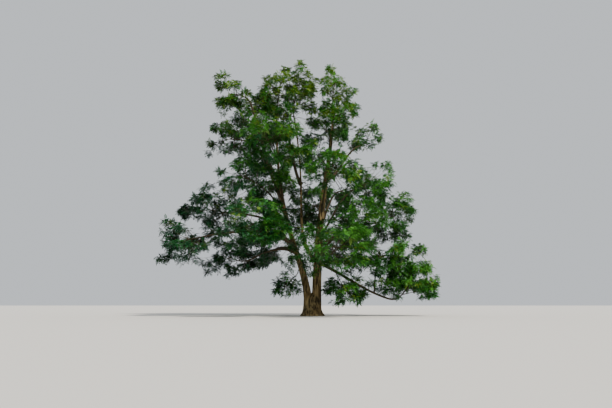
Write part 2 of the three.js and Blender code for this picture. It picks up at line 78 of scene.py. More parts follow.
# Masses of foliage and the boughs that carry them: the same places and sizes as the solids have. Each
# row is the limb that the mass grows from, the height where its bough leaves it, the heading, reach and
# rise to the mass's middle, its half sizes, and the slopes at which the bough starts and ends. A mass
# without a height stands on its limb's own tip.
massColumns = ("from", "height", "heading", "reach", "rise", "size", "starts", "ends")
massRows = {
    "top": ("middle_stem", None, 0, 0.2, 1.75, (1.45, 1.65, 2.15)),
    "crown_left": ("left_stem", None, 281, 0.95, 1.2, (1.6, 1.35, 2.05)),
    "crown_right": ("right_stem", None, -89, 0.95, 1.25, (1.6, 1.25, 2.05)),
    "upper_right": ("right_stem", 9.3, -64, 1.5, 2.45, (1.1, 1.4, 1.85), 60, 78),
    "right_tuft": ("right_stem", 8.1, 18, 2.85, 3.1, (1, 1, 0.95), 24, 22),
    "upper_left": ("left_stem", 8, -165, 2.9, 5.2, (1.3, 1.3, 1.5), 50, 68),
    "left_shoulder": ("left_stem", 7.1, 153, 3.7, 4, (1.7, 1.8, 1.4), 52, 30),
    "front_left_high": ("left_stem", 6.6, 256, 3.2, 3.05, (1.9, 2.25, 1.9), 55, 35),
    "left_upper": ("left_stem", 5.8, -135, 3.25, 1.95, (1.7, 1.9, 1.45), 50, 25),
    "left_mid": ("left_stem", 4.9, 164, 5.35, 1.7, (2.05, 2.1, 1.45), 42, 5),
    "far_left": ("left_stem", 4.2, -173, 6.45, 0.15, (1.9, 2.1, 1.5), 32, -12),
    "left_low": ("left_stem", 3.5, 154, 4.85, 0.3, (2.15, 2, 1.45), 50, -25),
    "inner_left": ("left_stem", 5.4, 233, 1.65, 1.7, (1.75, 1.75, 1.8), 50, 60),
    "front_left": ("left_stem", 3.95, 244, 4.85, 0.9, (2.1, 2.1, 1.55), 40, -5),
    "hang_left": ("left_stem", 2.85, 206, 0.8, -0.95, (1, 1, 0.9), 5, -30),
    "front_right_high": ("right_stem", 6, -82, 3.65, 2.05, (2, 2.2, 1.55), 45, 15),
    "right_upper": ("right_stem", 4.65, -32, 3.35, 2.85, (1.8, 2, 1.75), 42, 36),
    "right_mid": ("right_stem", 4, 19, 4.8, 2.1, (1.75, 2.1, 2), 40, 8),
    "inner_right": ("right_stem", 3.6, -49, 3.55, 1.6, (1.8, 1.8, 1.65), 40, 25),
    "front_low": ("right_stem", 2.95, -80, 5.05, 0.75, (2.1, 2.1, 1.45), 32, -8),
    "right_low": ("right_stem", 3.15, 4, 5.45, -1, (1.95, 1.9, 1.6), -24, -17),
    "right_low_inner": ("right_low", None, -85, 1.7, 2.15, (1.75, 1.9, 1.45), 50, 42),
    "hang_right": ("right_low", None, -40, 1, -1.25, (1.4, 1.4, 1.15), -20, -60),
    "back_centre": ("right_stem", 6, 100, 2.4, 0.9, (1.85, 1.85, 2.2), 40),
    "back_low_right": ("right_stem", 3.4, 68, 5.6, 1.3, (2.2, 2.2, 1.6), 38, -5),
    "back_low_left": ("left_stem", 3.25, 118, 5.5, 1.3, (2.2, 2.2, 1.65), 55, -8),
    "back_left": ("left_stem", 5.3, 116, 4.4, 3.35, (2.3, 2.45, 2.2), 48, 15),
    "back_right": ("right_stem", 5.3, 63, 4.6, 3.15, (2.3, 2.45, 2.2), 45, 15),
    "back_high_left": ("middle_stem", 7.9, 137, 3.45, 4.7, (2.1, 2.1, 2), 55, 40),
    "back_high_right": ("right_stem", 8.9, 75, 2.65, 3.3, (1.9, 1.9, 2), 50, 45),
}

# What some of them have besides: how far behind and below the middle the bough ends, in half sizes, its
# radii at foot and tip, and how far along another bough it leaves that one.
massExtras = {
    "right_tuft": {"enter": (0.55, 0.75)},
    "far_left": {"enter": (0.78, -0.22)},
    "inner_left": {"enter": (0.3, 0.5)},
    "hang_left": {"enter": (0.45, -0.5), "radii": (0.032, 0.022)},
    "right_low": {"enter": (0.62, 0.72)},
    "right_low_inner": {"along": 0.8, "enter": (0.6, 0.55), "radii": (0.048, 0.034)},
    "hang_right": {"along": 0.2, "enter": (0.35, -0.6), "radii": (0.034, 0.024)},
    "back_centre": {"onTrunk": True, "footRadius": 0.055},
}
masses = {
    name: {key: value for key, value in zip(massColumns, row) if value is not None} | massExtras.get(name, {})
    for name, row in massRows.items()
}

# How limbs run, taper and end in their masses. A limb keeps its first slope, and its last, over this
# lead, a share of its length, unless it has its own.
limbRule = {
    "lead": 1 / 3, "enter": (0.78, 0.25), "boughRadiusPerReach": 0.0155, "boughRadiusFloor": 0.034,
    "boughTipShare": 0.52, "taperPower": 0.85, "stemTipRadius": 0.022, "stemPast": 0.25,
    "stemSpring": 0.4, "cellInset": 0.018,
}


def direction(heading, slope=0.0):
    level = math.cos(math.radians(slope))
    turn = math.radians(heading)
    return np.array([level * math.cos(turn), level * math.sin(turn), math.sin(math.radians(slope))])


def unit(vector):
    return vector / max(np.linalg.norm(vector), tiny)


def pointOn(line, share):
    row = np.asarray(line, float)
    while len(row) > 1:
        row = row[:-1] * (1 - share) + row[1:] * share
    return row[0]


def tangentOn(line, share):
    return unit(pointOn(np.diff(line, axis=0), share))


def lineOf(start, end, spec):
    length = np.linalg.norm(end - start)
    heading = spec["heading"]
    return np.array([
        start,
        start + direction(heading, spec["starts"]) * length * spec.get("spring", limbRule["lead"]),
        end - direction(heading, spec["ends"]) * length * spec.get("settle", limbRule["lead"]),
        end,
    ])


def limbRadius(limb, share):
    return limb["radii"][0] + (limb["radii"][1] - limb["radii"][0]) * share ** limbRule["taperPower"]


def shareAtHeight(limb, height):
    low, high = 0.0, 1.0
    while high - low > tiny:
        middle = (low + high) / 2
        if pointOn(limb["line"], middle)[2] < height:
            low = middle
        else:
            high = middle
    return (low + high) / 2


limbs = {}


def placeStem(name, spec):
    parent = limbs.get(spec.get("from"))
    if parent:
        start = pointOn(parent["line"], shareAtHeight(parent, spec["height"]))
    else:
        start = np.array([spec["footX"], 0.0, 0.0])
    end = start + direction(spec["heading"]) * spec["reach"] + upward * spec["rise"]
    limbs[name] = {"line": lineOf(start, end, spec), "radii": spec["radii"], "heading": spec["heading"]}


def placeMass(name, spec):
    parent = limbs[spec["from"]]
    onTip = "height" not in spec and "along" not in spec
    share = 1.0 if onTip else spec.get("along") or shareAtHeight(parent, spec["height"])
    root = pointOn(parent["line"], share)
    out = direction(spec["heading"])
    size = np.array(spec["size"])
    centre = root + out * spec["reach"] + upward * spec["rise"]
    mass = {"name": name, "size": size, "centre": centre, "firstLevel": 0, "spareShare": 1.0}
    mass["axes"] = np.array([out, direction(spec["heading"] + 90), upward])
    if spec.get("onTrunk"):
        arrival = direction(spec["heading"], spec["starts"])
        mass.update(start=root, arrival=arrival, footRadius=spec["footRadius"])
        return mass
    limb = parent
    if not onTip:
        behind, below = spec.get("enter", limbRule["enter"])
        end = centre - out * behind * size[0] - upward * below * size[2]
        reach = np.linalg.norm(end - root)
        footRadius = limbRule["boughRadiusFloor"] + limbRule["boughRadiusPerReach"] * reach
        radii = spec.get("radii", (footRadius, footRadius * limbRule["boughTipShare"]))
        limb = {"line": lineOf(root, end, spec), "radii": radii, "heading": spec["heading"]}
        limbs["bough_" + name] = limb
        limbs.setdefault(name, limb)
    arrival = tangentOn(limb["line"], 1.0)
    mass.update(start=limb["line"][-1] + arrival * gap, arrival=arrival, footRadius=limb["radii"][1])
    return mass


for stemName, stemSpec in stems.items():
    placeStem(stemName, stemSpec)
massList = [placeMass(massName, massSpec) for massName, massSpec in masses.items()]


# How far a mass reaches from its middle along a direction.
def support(mass, along):
    return np.linalg.norm(mass["size"] * (mass["axes"] @ along))


# Where two masses would meet, a plane between them keeps each to its own side.
for mass in massList:
    mass["planes"] = []
    for other in massList:
        if other is mass:
            continue
        apart = np.linalg.norm(other["centre"] - mass["centre"])
        across = (other["centre"] - mass["centre"]) / apart
        own, theirs = support(mass, across), support(other, across)
        if own + theirs > apart:
            offset = mass["centre"] @ across + apart * own / (own + theirs) - limbRule["cellInset"]
            mass["planes"].append((across, offset))
    onward = unit(mass["centre"] - mass["start"])
    far = mass["centre"] + onward * support(mass, onward) * limbRule["stemPast"]
    spring = np.linalg.norm(far - mass["start"]) * limbRule["stemSpring"]
    mass["line"] = np.array([mass["start"], mass["start"] + mass["arrival"] * spring, far])


# The distance from a point inside a mass's space to its edge, along a direction.
def room(mass, point, along):
    place = mass["axes"] @ (point - mass["centre"]) / mass["size"]
    way = mass["axes"] @ along / mass["size"]
    a, b, c = way @ way, place @ way, place @ place - 1
    reach = 0.0 if c > 0 else (math.sqrt(b * b - a * c) - b) / a
    for normal, offset in mass["planes"]:
        left = offset - point @ normal
        closing = along @ normal
        if left < 0:
            return 0.0
        if closing > tiny:
            reach = min(reach, left / closing)
    return reach


# Nodes and meshes

# Adds a node with its settings, and its inputs by name or number: a value, or a socket to link from.
def addNode(tree, kind, inputs=None, **settings):
    node = tree.nodes.new(kind)
    for key, value in settings.items():
        setattr(node, key, value)
    for key, value in (inputs or {}).items():
        if isinstance(value, bpy.types.NodeSocket):
            tree.links.new(value, node.inputs[key])
        else:
            node.inputs[key].default_value = value
    return node


def linear(hexColour):
    channels = [int(hexColour[i:i + 2], 16) / 255 for i in (1, 3, 5)]
    return [c / 12.92 if c <= 0.04045 else ((c + 0.055) / 1.055) ** 2.4 for c in channels] + [1.0]


def newObject(name, data):
    made = bpy.data.objects.new(name, data)
    bpy.context.scene.collection.objects.link(made)
    return made


def meshObject(name, vertices, faces, edges=()):
    mesh = bpy.data.meshes.new(name)
    mesh.from_pydata([tuple(v) for v in vertices], list(edges), list(faces))
    mesh.update()
    return newObject(name, mesh)


# The object with its modifiers, as a plain mesh of its own.
def settle(made):
    graph = bpy.context.evaluated_depsgraph_get()
    done = bpy.data.meshes.new_from_object(made.evaluated_get(graph), depsgraph=graph)
    made.modifiers.clear()
    made.data = done


# What the points of leaves and twigs carry while they grow, and its kind. The finished piece drops it.
leafValues = {"leafForm": "INT", "leafTurn": "FLOAT_VECTOR", "leafSize": "FLOAT", "leafTint": "INT"}
twigValues = {"twigRadius": "FLOAT"}


def storeOn(mesh, kinds, values):
    for name, kind in kinds.items():
        numbers = np.asarray(values[name], np.int32 if kind == "INT" else np.float32)
        attribute = mesh.attributes.new(name, kind, "POINT")
        attribute.data.foreach_set("vector" if numbers.ndim > 1 else "value", numbers.ravel())


def finishPiece(made, nodes=()):
    for key in made.data.attributes.keys():
        if key in leafValues or key in twigValues:
            made.data.attributes.remove(made.data.attributes[key])
    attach(made, "root")
    if nodes:
        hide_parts(*nodes)
    made.data.calc_loop_triangles()
    print(made.name, len(made.data.loop_triangles), "triangles")


# Ash bark: grey-brown, split into long ridges that join and part, some 90 mm apart, with dark furrows
# between, warmer blotches and a dusting of green-grey lichen.
oldBark = {
    "ridge": "#8f7d55", "furrow": "#1c160b", "lichen": "#6d6f48", "warm": "#6b522c",
    "ridgeWidth": 0.09, "ridgeLength": 0.55, "grain": 0.009, "roughness": 0.88,
}

# Young bark on boughs and twigs: smoother, olive-grey, with fine cracks and pale spots 5 mm across.
smoothBark = {
    "ridge": "#554c39", "furrow": "#2b2616", "lichen": "#5e5d41", "warm": "#4a3f28",
    "ridgeWidth": 0.035, "ridgeLength": 0.16, "grain": 0.005, "roughness": 0.8,
}

# How the patterns of both barks mix. A range is where a pattern starts and is full, and what it then
# gives, and a lift is a share of the pattern's own width.
barkPattern = {
    "furrowToRidge": (0.42, 0.62), "warm": (0.42, 0.7, 0.0, 0.55), "lichen": (0.55, 0.75, 0.0, 0.6),
    "blotchScale": 1.7, "roughFrom": (0.3, 0.7), "smoother": 0.1, "rougher": 0.08, "gloss": 0.25,
    "ridgeStrength": 0.6, "ridgeLift": 0.25, "grainStrength": 0.35, "grainLift": 0.4,
}
rangeInputs = ("From Min", "From Max", "To Min", "To Max")


def newMaterial(name):
    material = bpy.data.materials.new(name)
    material.use_nodes = True
    material.node_tree.nodes.clear()
    return material


# In a Mix node of colours, inputs 0, 6 and 7 are the factor and the colours, and output 2 is the result.
def barkMaterial(name, look):
    material = newMaterial(name)
    tree = material.node_tree
    place = addNode(tree, "ShaderNodeTexCoord").outputs["Object"]
    stretch = (1 / look["ridgeWidth"], 1 / look["ridgeWidth"], 1 / look["ridgeLength"])
    along = addNode(tree, "ShaderNodeMapping", {"Vector": place, "Scale": stretch})
    ridges = addNode(
        tree, "ShaderNodeTexNoise",
        {"Vector": along.outputs["Vector"], "Scale": 1.0, "Detail": 3.0, "Roughness": 0.6, "Distortion": 0.4},
    )
    blotches = addNode(
        tree, "ShaderNodeTexNoise", {"Vector": place, "Scale": barkPattern["blotchScale"], "Detail": 4.0},
    )
    grain = addNode(tree, "ShaderNodeTexNoise", {"Vector": place, "Scale": 1 / look["grain"], "Detail": 2.0})
    ramp = addNode(tree, "ShaderNodeValToRGB", {"Fac": ridges.outputs["Fac"]})
    stops = zip(ramp.color_ramp.elements, barkPattern["furrowToRidge"], ("furrow", "ridge"))
    for stop, position, part in stops:
        stop.position = position
        stop.color = linear(look[part])
    colour = ramp.outputs["Color"]
    for cover, pattern in (("warm", blotches), ("lichen", grain)):
        amount = addNode(
            tree, "ShaderNodeMapRange",
            {"Value": pattern.outputs["Fac"], **dict(zip(rangeInputs, barkPattern[cover]))},
        )
        colour = addNode(
            tree, "ShaderNodeMix", {0: amount.outputs[0], 6: colour, 7: linear(look[cover])},
            data_type="RGBA",
        ).outputs[2]
    relief = addNode(
        tree, "ShaderNodeBump",
        {"Height": ridges.outputs["Fac"], "Strength": barkPattern["ridgeStrength"],
         "Distance": look["ridgeWidth"] * barkPattern["ridgeLift"]},
    )
    fine = addNode(
        tree, "ShaderNodeBump",
        {"Height": grain.outputs["Fac"], "Strength": barkPattern["grainStrength"],
         "Distance": look["grain"] * barkPattern["grainLift"], "Normal": relief.outputs["Normal"]},
    )
    roughness = (look["roughness"] - barkPattern["smoother"], look["roughness"] + barkPattern["rougher"])
    rough = addNode(
        tree, "ShaderNodeMapRange",
        {"Value": grain.outputs["Fac"], **dict(zip(rangeInputs, barkPattern["roughFrom"] + roughness))},
    )
    surface = addNode(
        tree, "ShaderNodeBsdfPrincipled",
        {"Base Color": colour, "Roughness": rough.outputs[0], "Normal": fine.outputs["Normal"],
         "Specular IOR Level": barkPattern["gloss"]},
    )
    addNode(tree, "ShaderNodeOutputMaterial", {"Surface": surface.outputs["BSDF"]})
    return material


ashBark = barkMaterial("furrowed ash bark", oldBark)
youngAshBark = barkMaterial("smooth young ash bark", smoothBark)


# The faces of a closed skin over rings of points: quads from ring to ring, and a cap at either end.
def ringFaces(sides, rings):
    faces = []
    for i in range(rings):
        for j in range(sides):
            k = (j + 1) % sides
            faces.append((i * sides + j, i * sides + k, (i + 1) * sides + k, (i + 1) * sides + j))
    return faces + [tuple(reversed(range(sides))), tuple(range(rings * sides, (rings + 1) * sides))]


# A closed tube along a limb, its rings square to the line and turned in one upright plane.
def tubeArrays(limb, sides, rings, swell=None):
    side = direction(limb["heading"] + 90)
    angles = np.arange(sides) * 2 * math.pi / sides
    vertices = []
    for i in range(rings + 1):
        share = i / rings
        out = unit(np.cross(tangentOn(limb["line"], share), side))
        radius = limbRadius(limb, share) * (swell(share) if swell else 1.0)
        ring = np.outer(np.cos(angles), out) + np.outer(np.sin(angles), side)
        vertices.append(pointOn(limb["line"], share) + ring * radius)
    return np.concatenate(vertices), ringFaces(sides, rings)


def joinArrays(parts):
    vertices, faces, count = [], [], 0
    for points, ownFaces in parts:
        vertices.append(points)
        faces += [tuple(i + count for i in face) for face in ownFaces]
        count += len(points)
    return np.concatenate(vertices), faces


# The flared foot: root ridges spread towards the ground and die out up the trunk.
foot = {
    "crotchHeight": 1.24, "groundRadii": (0.69, 0.6), "waistRadii": (0.49, 0.34), "crotchShare": 0.62,
    "flareHeight": 0.33, "rootRidges": 5, "ridgeShare": 0.17, "ridgeTurn": 0.7,
    "sides": 90, "rings": 44, "domeShare": 0.12,
}


def footArrays():
    vertices = []
    sides, rings = foot["sides"], foot["rings"]
    for i in range(rings + 1):
        share = i / rings
        height = share * foot["crotchHeight"]
        flare = math.exp(-height / foot["flareHeight"])
        dome = max(0.0, (share - 1 + foot["domeShare"]) / foot["domeShare"])
        narrow = 1 - (1 - foot["crotchShare"]) * dome ** 2
        wide, deep = [w + (g - w) * flare for g, w in zip(foot["groundRadii"], foot["waistRadii"])]
        for j in range(sides):
            angle = 2 * math.pi * j / sides
            ridge = 1 + foot["ridgeShare"] * flare * math.cos(foot["rootRidges"] * angle - foot["ridgeTurn"])
            reach = ridge * narrow
            vertices.append((math.cos(angle) * wide * reach, math.sin(angle) * deep * reach, height))
    return np.array(vertices), ringFaces(sides, rings)


# Bark relief: ridges that join and part, cut by furrows, deeper on thicker wood. The cut at the ground
# and the ends of the limbs stay flat.
barkRelief = {
    "depth": 0.02, "ridgeWidth": 0.085, "ridgeLength": 0.5, "waver": 0.12, "waverScale": 1.4,
    "ridgeShare": 0.75, "fineScale": 2.3, "level": 0.55, "fullAtRadius": 0.2, "samples": 60,
    "flatEnd": 0.95, "groundBand": 0.03,
}


def reliefAt(point):
    wide, long = barkRelief["ridgeWidth"], barkRelief["ridgeLength"]
    shift = noise.noise(Vector((point[0], point[1], point[2] * barkRelief["waverScale"])))
    turned = Vector((point[0] / wide, point[1] / wide, point[2] / long + shift * barkRelief["waver"]))
    ridge = 1 - 2 * abs(noise.noise(turned))
    fine = noise.noise(turned * barkRelief["fineScale"])
    return barkRelief["ridgeShare"] * ridge + (1 - barkRelief["ridgeShare"]) * fine - barkRelief["level"]


# The radius of the nearest of some limbs, at the place nearest to each of several points.
def woodRadius(points, names):
    best = np.full(len(points), np.inf)
    radius = np.zeros(len(points))
    for name in names:
        limb = limbs[name]
        for share in np.linspace(0, 1, barkRelief["samples"]):
            apart = np.linalg.norm(points - pointOn(limb["line"], share), axis=1)
            near = apart < best
            best = np.where(near, apart, best)
            radius = np.where(near, limbRadius(limb, share), radius)
    return radius


def carveBark(made, names, depth):
    mesh = made.data
    points, normals = np.zeros((2, len(mesh.vertices), 3))
    mesh.vertices.foreach_get("co", points.ravel())
    mesh.vertices.foreach_get("normal", normals.ravel())
    strength = np.minimum(1.0, woodRadius(points, names) / barkRelief["fullAtRadius"])
    lift = np.array([reliefAt(p) for p in points]) * depth * strength
    lift = np.where(np.abs(normals[:, 2]) > barkRelief["flatEnd"], 0.0, lift)
    moved = points + normals * lift[:, None]
    low = points[:, 2] < barkRelief["groundBand"]
    moved[:, 2] = np.maximum(np.where(low, points[:, 2], moved[:, 2]), 0.0)
    mesh.vertices.foreach_set("co", moved.ravel())
    mesh.update()


def finishWood(made, names, depth, bark, nodes):
    carveBark(made, names, depth)
    made.data.shade_smooth()
    made.data.materials.append(bark)
    finishPiece(made, nodes)


# The foot and the stems are grown into one skin before the bark is carved.
trunkSkin = {"voxel": 0.03, "smoothing": 4, "stemSides": 28, "stemRings": 150}


def makeTrunk():
    parts = [tubeArrays(limbs[name], trunkSkin["stemSides"], trunkSkin["stemRings"]) for name in stems]
    made = meshObject("trunk_and_stems", *joinArrays([footArrays(), *parts]))
    remesh = made.modifiers.new("skin", "REMESH")
    remesh.mode = "VOXEL"
    remesh.voxel_size = trunkSkin["voxel"]
    smooth = made.modifiers.new("ease", "SMOOTH")
    smooth.iterations = trunkSkin["smoothing"]
    settle(made)
    finishWood(made, list(stems), barkRelief["depth"], ashBark, ["trunk", *stems])


boughSkin = {"sides": 18, "rings": 46, "collarSwell": 0.55, "collarLength": 0.035, "depth": 0.009}


# A bough is thicker where it leaves its stem.
def collar(share):
    return 1 + boughSkin["collarSwell"] * math.exp(-share / boughSkin["collarLength"])


def makeBoughs():
    names = [name for name in limbs if name.startswith("bough_")]
    parts = [tubeArrays(limbs[name], boughSkin["sides"], boughSkin["rings"], collar) for name in names]
    made = meshObject("boughs", *joinArrays(parts))
    finishWood(made, names, boughSkin["depth"], youngAshBark, names)


makeTrunk()
makeBoughs()
print("trunk, stems and boughs done")


# A repeatable stream of numbers from 0 to 1, by the minimal standard rule.
streamRule = {"factor": 16807, "limit": 2147483647}


def seeded(seed):
    state = seed

    def draw():
        nonlocal state
        state = state * streamRule["factor"] % streamRule["limit"]
        return state / streamRule["limit"]

    return draw


def between(draw, limits):
    return limits[0] + (limits[1] - limits[0]) * draw()


def levelSide(along):
    side = np.cross(upward, along)
    return unit(side) if side @ side > tiny else np.array([0.0, 1.0, 0.0])


# Turns a direction away from an axis: spread degrees off it, at that angle round it.
def spreadFrom(axis, spread, turn):
    side = levelSide(axis)
    lift = np.cross(side, axis)
    s, t = math.radians(spread), math.radians(turn)
    return axis * math.cos(s) + side * math.sin(s) * math.cos(t) + lift * math.sin(s) * math.sin(t)


# The rule at each level: children leave their parent's line one after another, so far apart, each
# turned 137 degrees on from the last, and one carries on from its tip. Each reaches for the edge of its
# mass's space, up to its longest, and stops short of it by what it still has to carry. Twigs lie flatter
# than they spread, and shoots turn up. A child is thinner than its parent by its level's share, and
# still thinner towards the parent's tip. Radii at tips are shares of those at feet.
crown = {
    "firstSeed": 1009, "seedStep": 37, "insideSeeds": 100000,
    "turn": 137, "jitter": (-30, 30), "tipAt": 0.98, "tipSpread": (0, 14), "cuts": (1.0, 0.8, 0.6),
    "lowest": 0.6, "bend": 0.55, "thinning": 0.4, "tipRadius": 0.4, "finestTip": 0.7, "massStemTip": 0.6,
    "fullness": {
        "tuft": 2.2, "top": 0.8, "hang_left": 2.0, "hang_right": 1.6, "right_low": 1.8, "far_left": 1.1,
        "left_low": 1.1, "left_upper": 0.7, "upper_left": 1.0, "right_tuft": 0.25, "right_mid": 1.2,
        "right_low_inner": 1.2, "front_right_high": 1.1, "back_high_right": 0.6, "upper_right": 0.8,
        "back_centre": 0.8,
    },
    "levels": (
        {"first": 0.08, "apart": 0.2, "spread": (40, 86), "longest": (1.2, 3.0), "share": (0.55, 1.1),
         "shortest": 0.35, "spare": 0.22, "flat": 0.85, "lift": 0.08, "thick": 0.55, "finest": 0.009},
        {"first": 0.5, "apart": 0.09, "spread": (34, 78), "longest": (0.3, 0.62), "share": (0.8, 1.05),
         "shortest": 0.16, "spare": 0.3, "flat": 0.22, "lift": 0.06, "thick": 0.55, "finest": 0.006},
        {"first": 0.3, "apart": 0.16, "spread": (36, 80), "longest": (0.12, 0.26), "share": (0.85, 1.05),
         "shortest": 0.06, "spare": 0.23, "flat": 0.65, "lift": 0.3, "thick": 0.6, "finest": 0.0035},
    ),
}

# Twigs on the boughs and stems themselves, which fill the inside of the crown: from which height and
# share of the limb, how far apart, how long and how thick.
innerTwigs = {
    "above": 3.2, "first": 0.35, "apart": 0.62, "spread": (50, 95), "longest": (0.5, 1.2), "radius": 0.012,
}

# The photograph's camera: how far in front of the stems it stands, how far aside and how high, as shares
# of that distance, and its tilt. Its place is rounded to the millimetre.
camera = {
    "distance": 35.5, "aside": -0.00991, "height": 0.01852, "pitch": 9.6, "focal": 35.0, "sensor": 36.0,
    "farthest": 1000,
}
eye = tuple(round(camera["distance"] * share, 3) for share in (camera["aside"], -1, camera["height"]))
photo = {"width": 612, "height": 408}


# Where the line of sight through a pixel of the photograph meets the stems' depth, as (x, z).
def atStems(across, down):
    focal = photo["width"] * camera["focal"] / camera["sensor"]
    right, up = (across - photo["width"] / 2) / focal, (photo["height"] / 2 - down) / focal
    level, tilt = math.cos(math.radians(camera["pitch"])), math.sin(math.radians(camera["pitch"]))
    reach = camera["distance"] / (level - up * tilt)
    x = camera["aside"] * camera["distance"] + right * reach
    return x, camera["height"] * camera["distance"] + (tilt + up * level) * reach


# An ellipse read in the photograph, as its middle (x, z), half width and half height at the stems' depth,
# to the centimetre.
def ellipseAt(across, down, halfWidth, halfHeight):
    x, z = atStems(across, down)
    wide = atStems(across + halfWidth, down)[0] - x
    high = atStems(across, down - halfHeight)[1] - z
    return tuple(round(size, 2) for size in (x, z, wide, high))


# Where the sky shows through the crown or cuts into its outline. Each gap is an ellipse read in the
# photograph, in its pixels: middle (across, down), half width and half height. Limbs cross a gap,
# and twigs stop short of its edge by the margin, because their leaves reach on. Leaves stop now before
# the edge and now past it, so that it is ragged.
skyGaps = {
    "over_top_right": (318, 70, 5, 5),
    "under_right_low": (404, 303, 9, 4),
    "right_upper_inner": (378, 175, 5, 3),
    "right_upper_side": (397, 176, 5, 6),
    "under_shoulder": (225, 157, 14, 4),
    "upper_left_between": (223, 94, 9, 3),
    "left_mid_side": (186, 194, 8, 6),
    "over_far_left": (153, 226, 9, 9),
    "far_left_side": (155, 241, 9, 10),
    "middle_left_light": (297, 142, 2, 4),
    "fork_light": (331, 146, 9, 4),
    "under_tuft_limb": (357, 156, 5, 3),
    "left_waist_inner": (233, 171, 5, 3),
    "upper_left_notch": (249, 78, 9, 13),
    "upper_left_side": (217, 115, 5, 4),
    "left_prongs": (212, 138, 8, 3),
    "left_waist": (216, 163, 12, 4),
    "above_left_mid": (183, 200, 9, 4),
    "left_layers": (194, 223, 11, 5),
    "left_layers_inner": (198, 231, 5, 2),
    "under_far_left": (178, 271, 18, 5),
    "over_left_low": (206, 254, 9, 4),
    "inner_left_layers": (226, 239, 6, 3),
    "left_low_light": (236, 262, 8, 3),
    "top_left_corner": (276, 60, 8, 7),
    "top_right_corner": (312, 65, 5, 9),
    "between_tops": (319, 97, 4, 13),
    "second_top_corner": (348, 72, 8, 10),
    "second_top_side": (359, 95, 4, 8),
    "beside_right_tuft": (350, 133, 3, 9),
    "over_right_tuft": (358, 124, 6, 4),
    "under_right_tuft": (370, 158, 9, 5),
    "right_waist": (370, 170, 4, 4),
    "in_left_high": (295, 172, 7, 6),
    "in_middle": (314, 184, 5, 4),
    "in_right_middle": (339, 181, 7, 4),
    "beside_right_stem": (333, 200, 3, 8),
    "over_right_mid": (394, 190, 5, 5),
    "over_right_low": (385, 245, 9, 4),
    "right_notch": (408, 250, 4, 5),
    "right_low_shoulder": (430, 253, 5, 6),
    "over_low_limb": (366, 274, 5, 5),
    "right_of_trunk": (328, 270, 6, 5),
    "low_right_of_trunk": (328, 297, 7, 4),
    "under_low_limb": (382, 303, 14, 5),
    "beside_left_stem": (296, 272, 3, 5),
    "left_stem_light": (284, 252, 5, 8),
    "under_hang_left": (293, 302, 16, 6),
    "over_hang_left": (276, 267, 8, 7),
    "small_left_sky": (256, 248, 6, 2),
    "small_middle_sky": (270, 196, 5, 4),
    "between_stems_low": (302, 248, 3, 5),
    "between_stems_high": (310, 240, 4, 3),
    "under_second_top": (345, 146, 3, 7),
    "over_right_upper": (362, 162, 6, 3),
    "left_stem_side": (286, 198, 3, 7),
    "inner_left_light": (257, 215, 8, 2),
    "under_top": (297, 117, 5, 5),
    "middle_light": (320, 131, 4, 3),
    "middle_light_low": (318, 148, 3, 2),
    "inner_right_light": (361, 214, 4, 3),
    "beside_left_low": (212, 247, 4, 4),
    "right_tuft_side": (387, 144, 4, 8),
    "left_mid_light": (242, 194, 6, 2),
    "right_upper_light": (376, 170, 6, 3),
    "under_low_limb_tip": (403, 293, 5, 3),
    "upper_left_low": (231, 113, 4, 3),
    "between_low_tufts": (361, 282, 4, 2),
    "second_top_edge": (349, 82, 4, 4),
}
gapTable = np.array([ellipseAt(*place) for place in skyGaps.values()])
gapRule = {"margin": 0.04, "edge": (0.2, 1.25)}

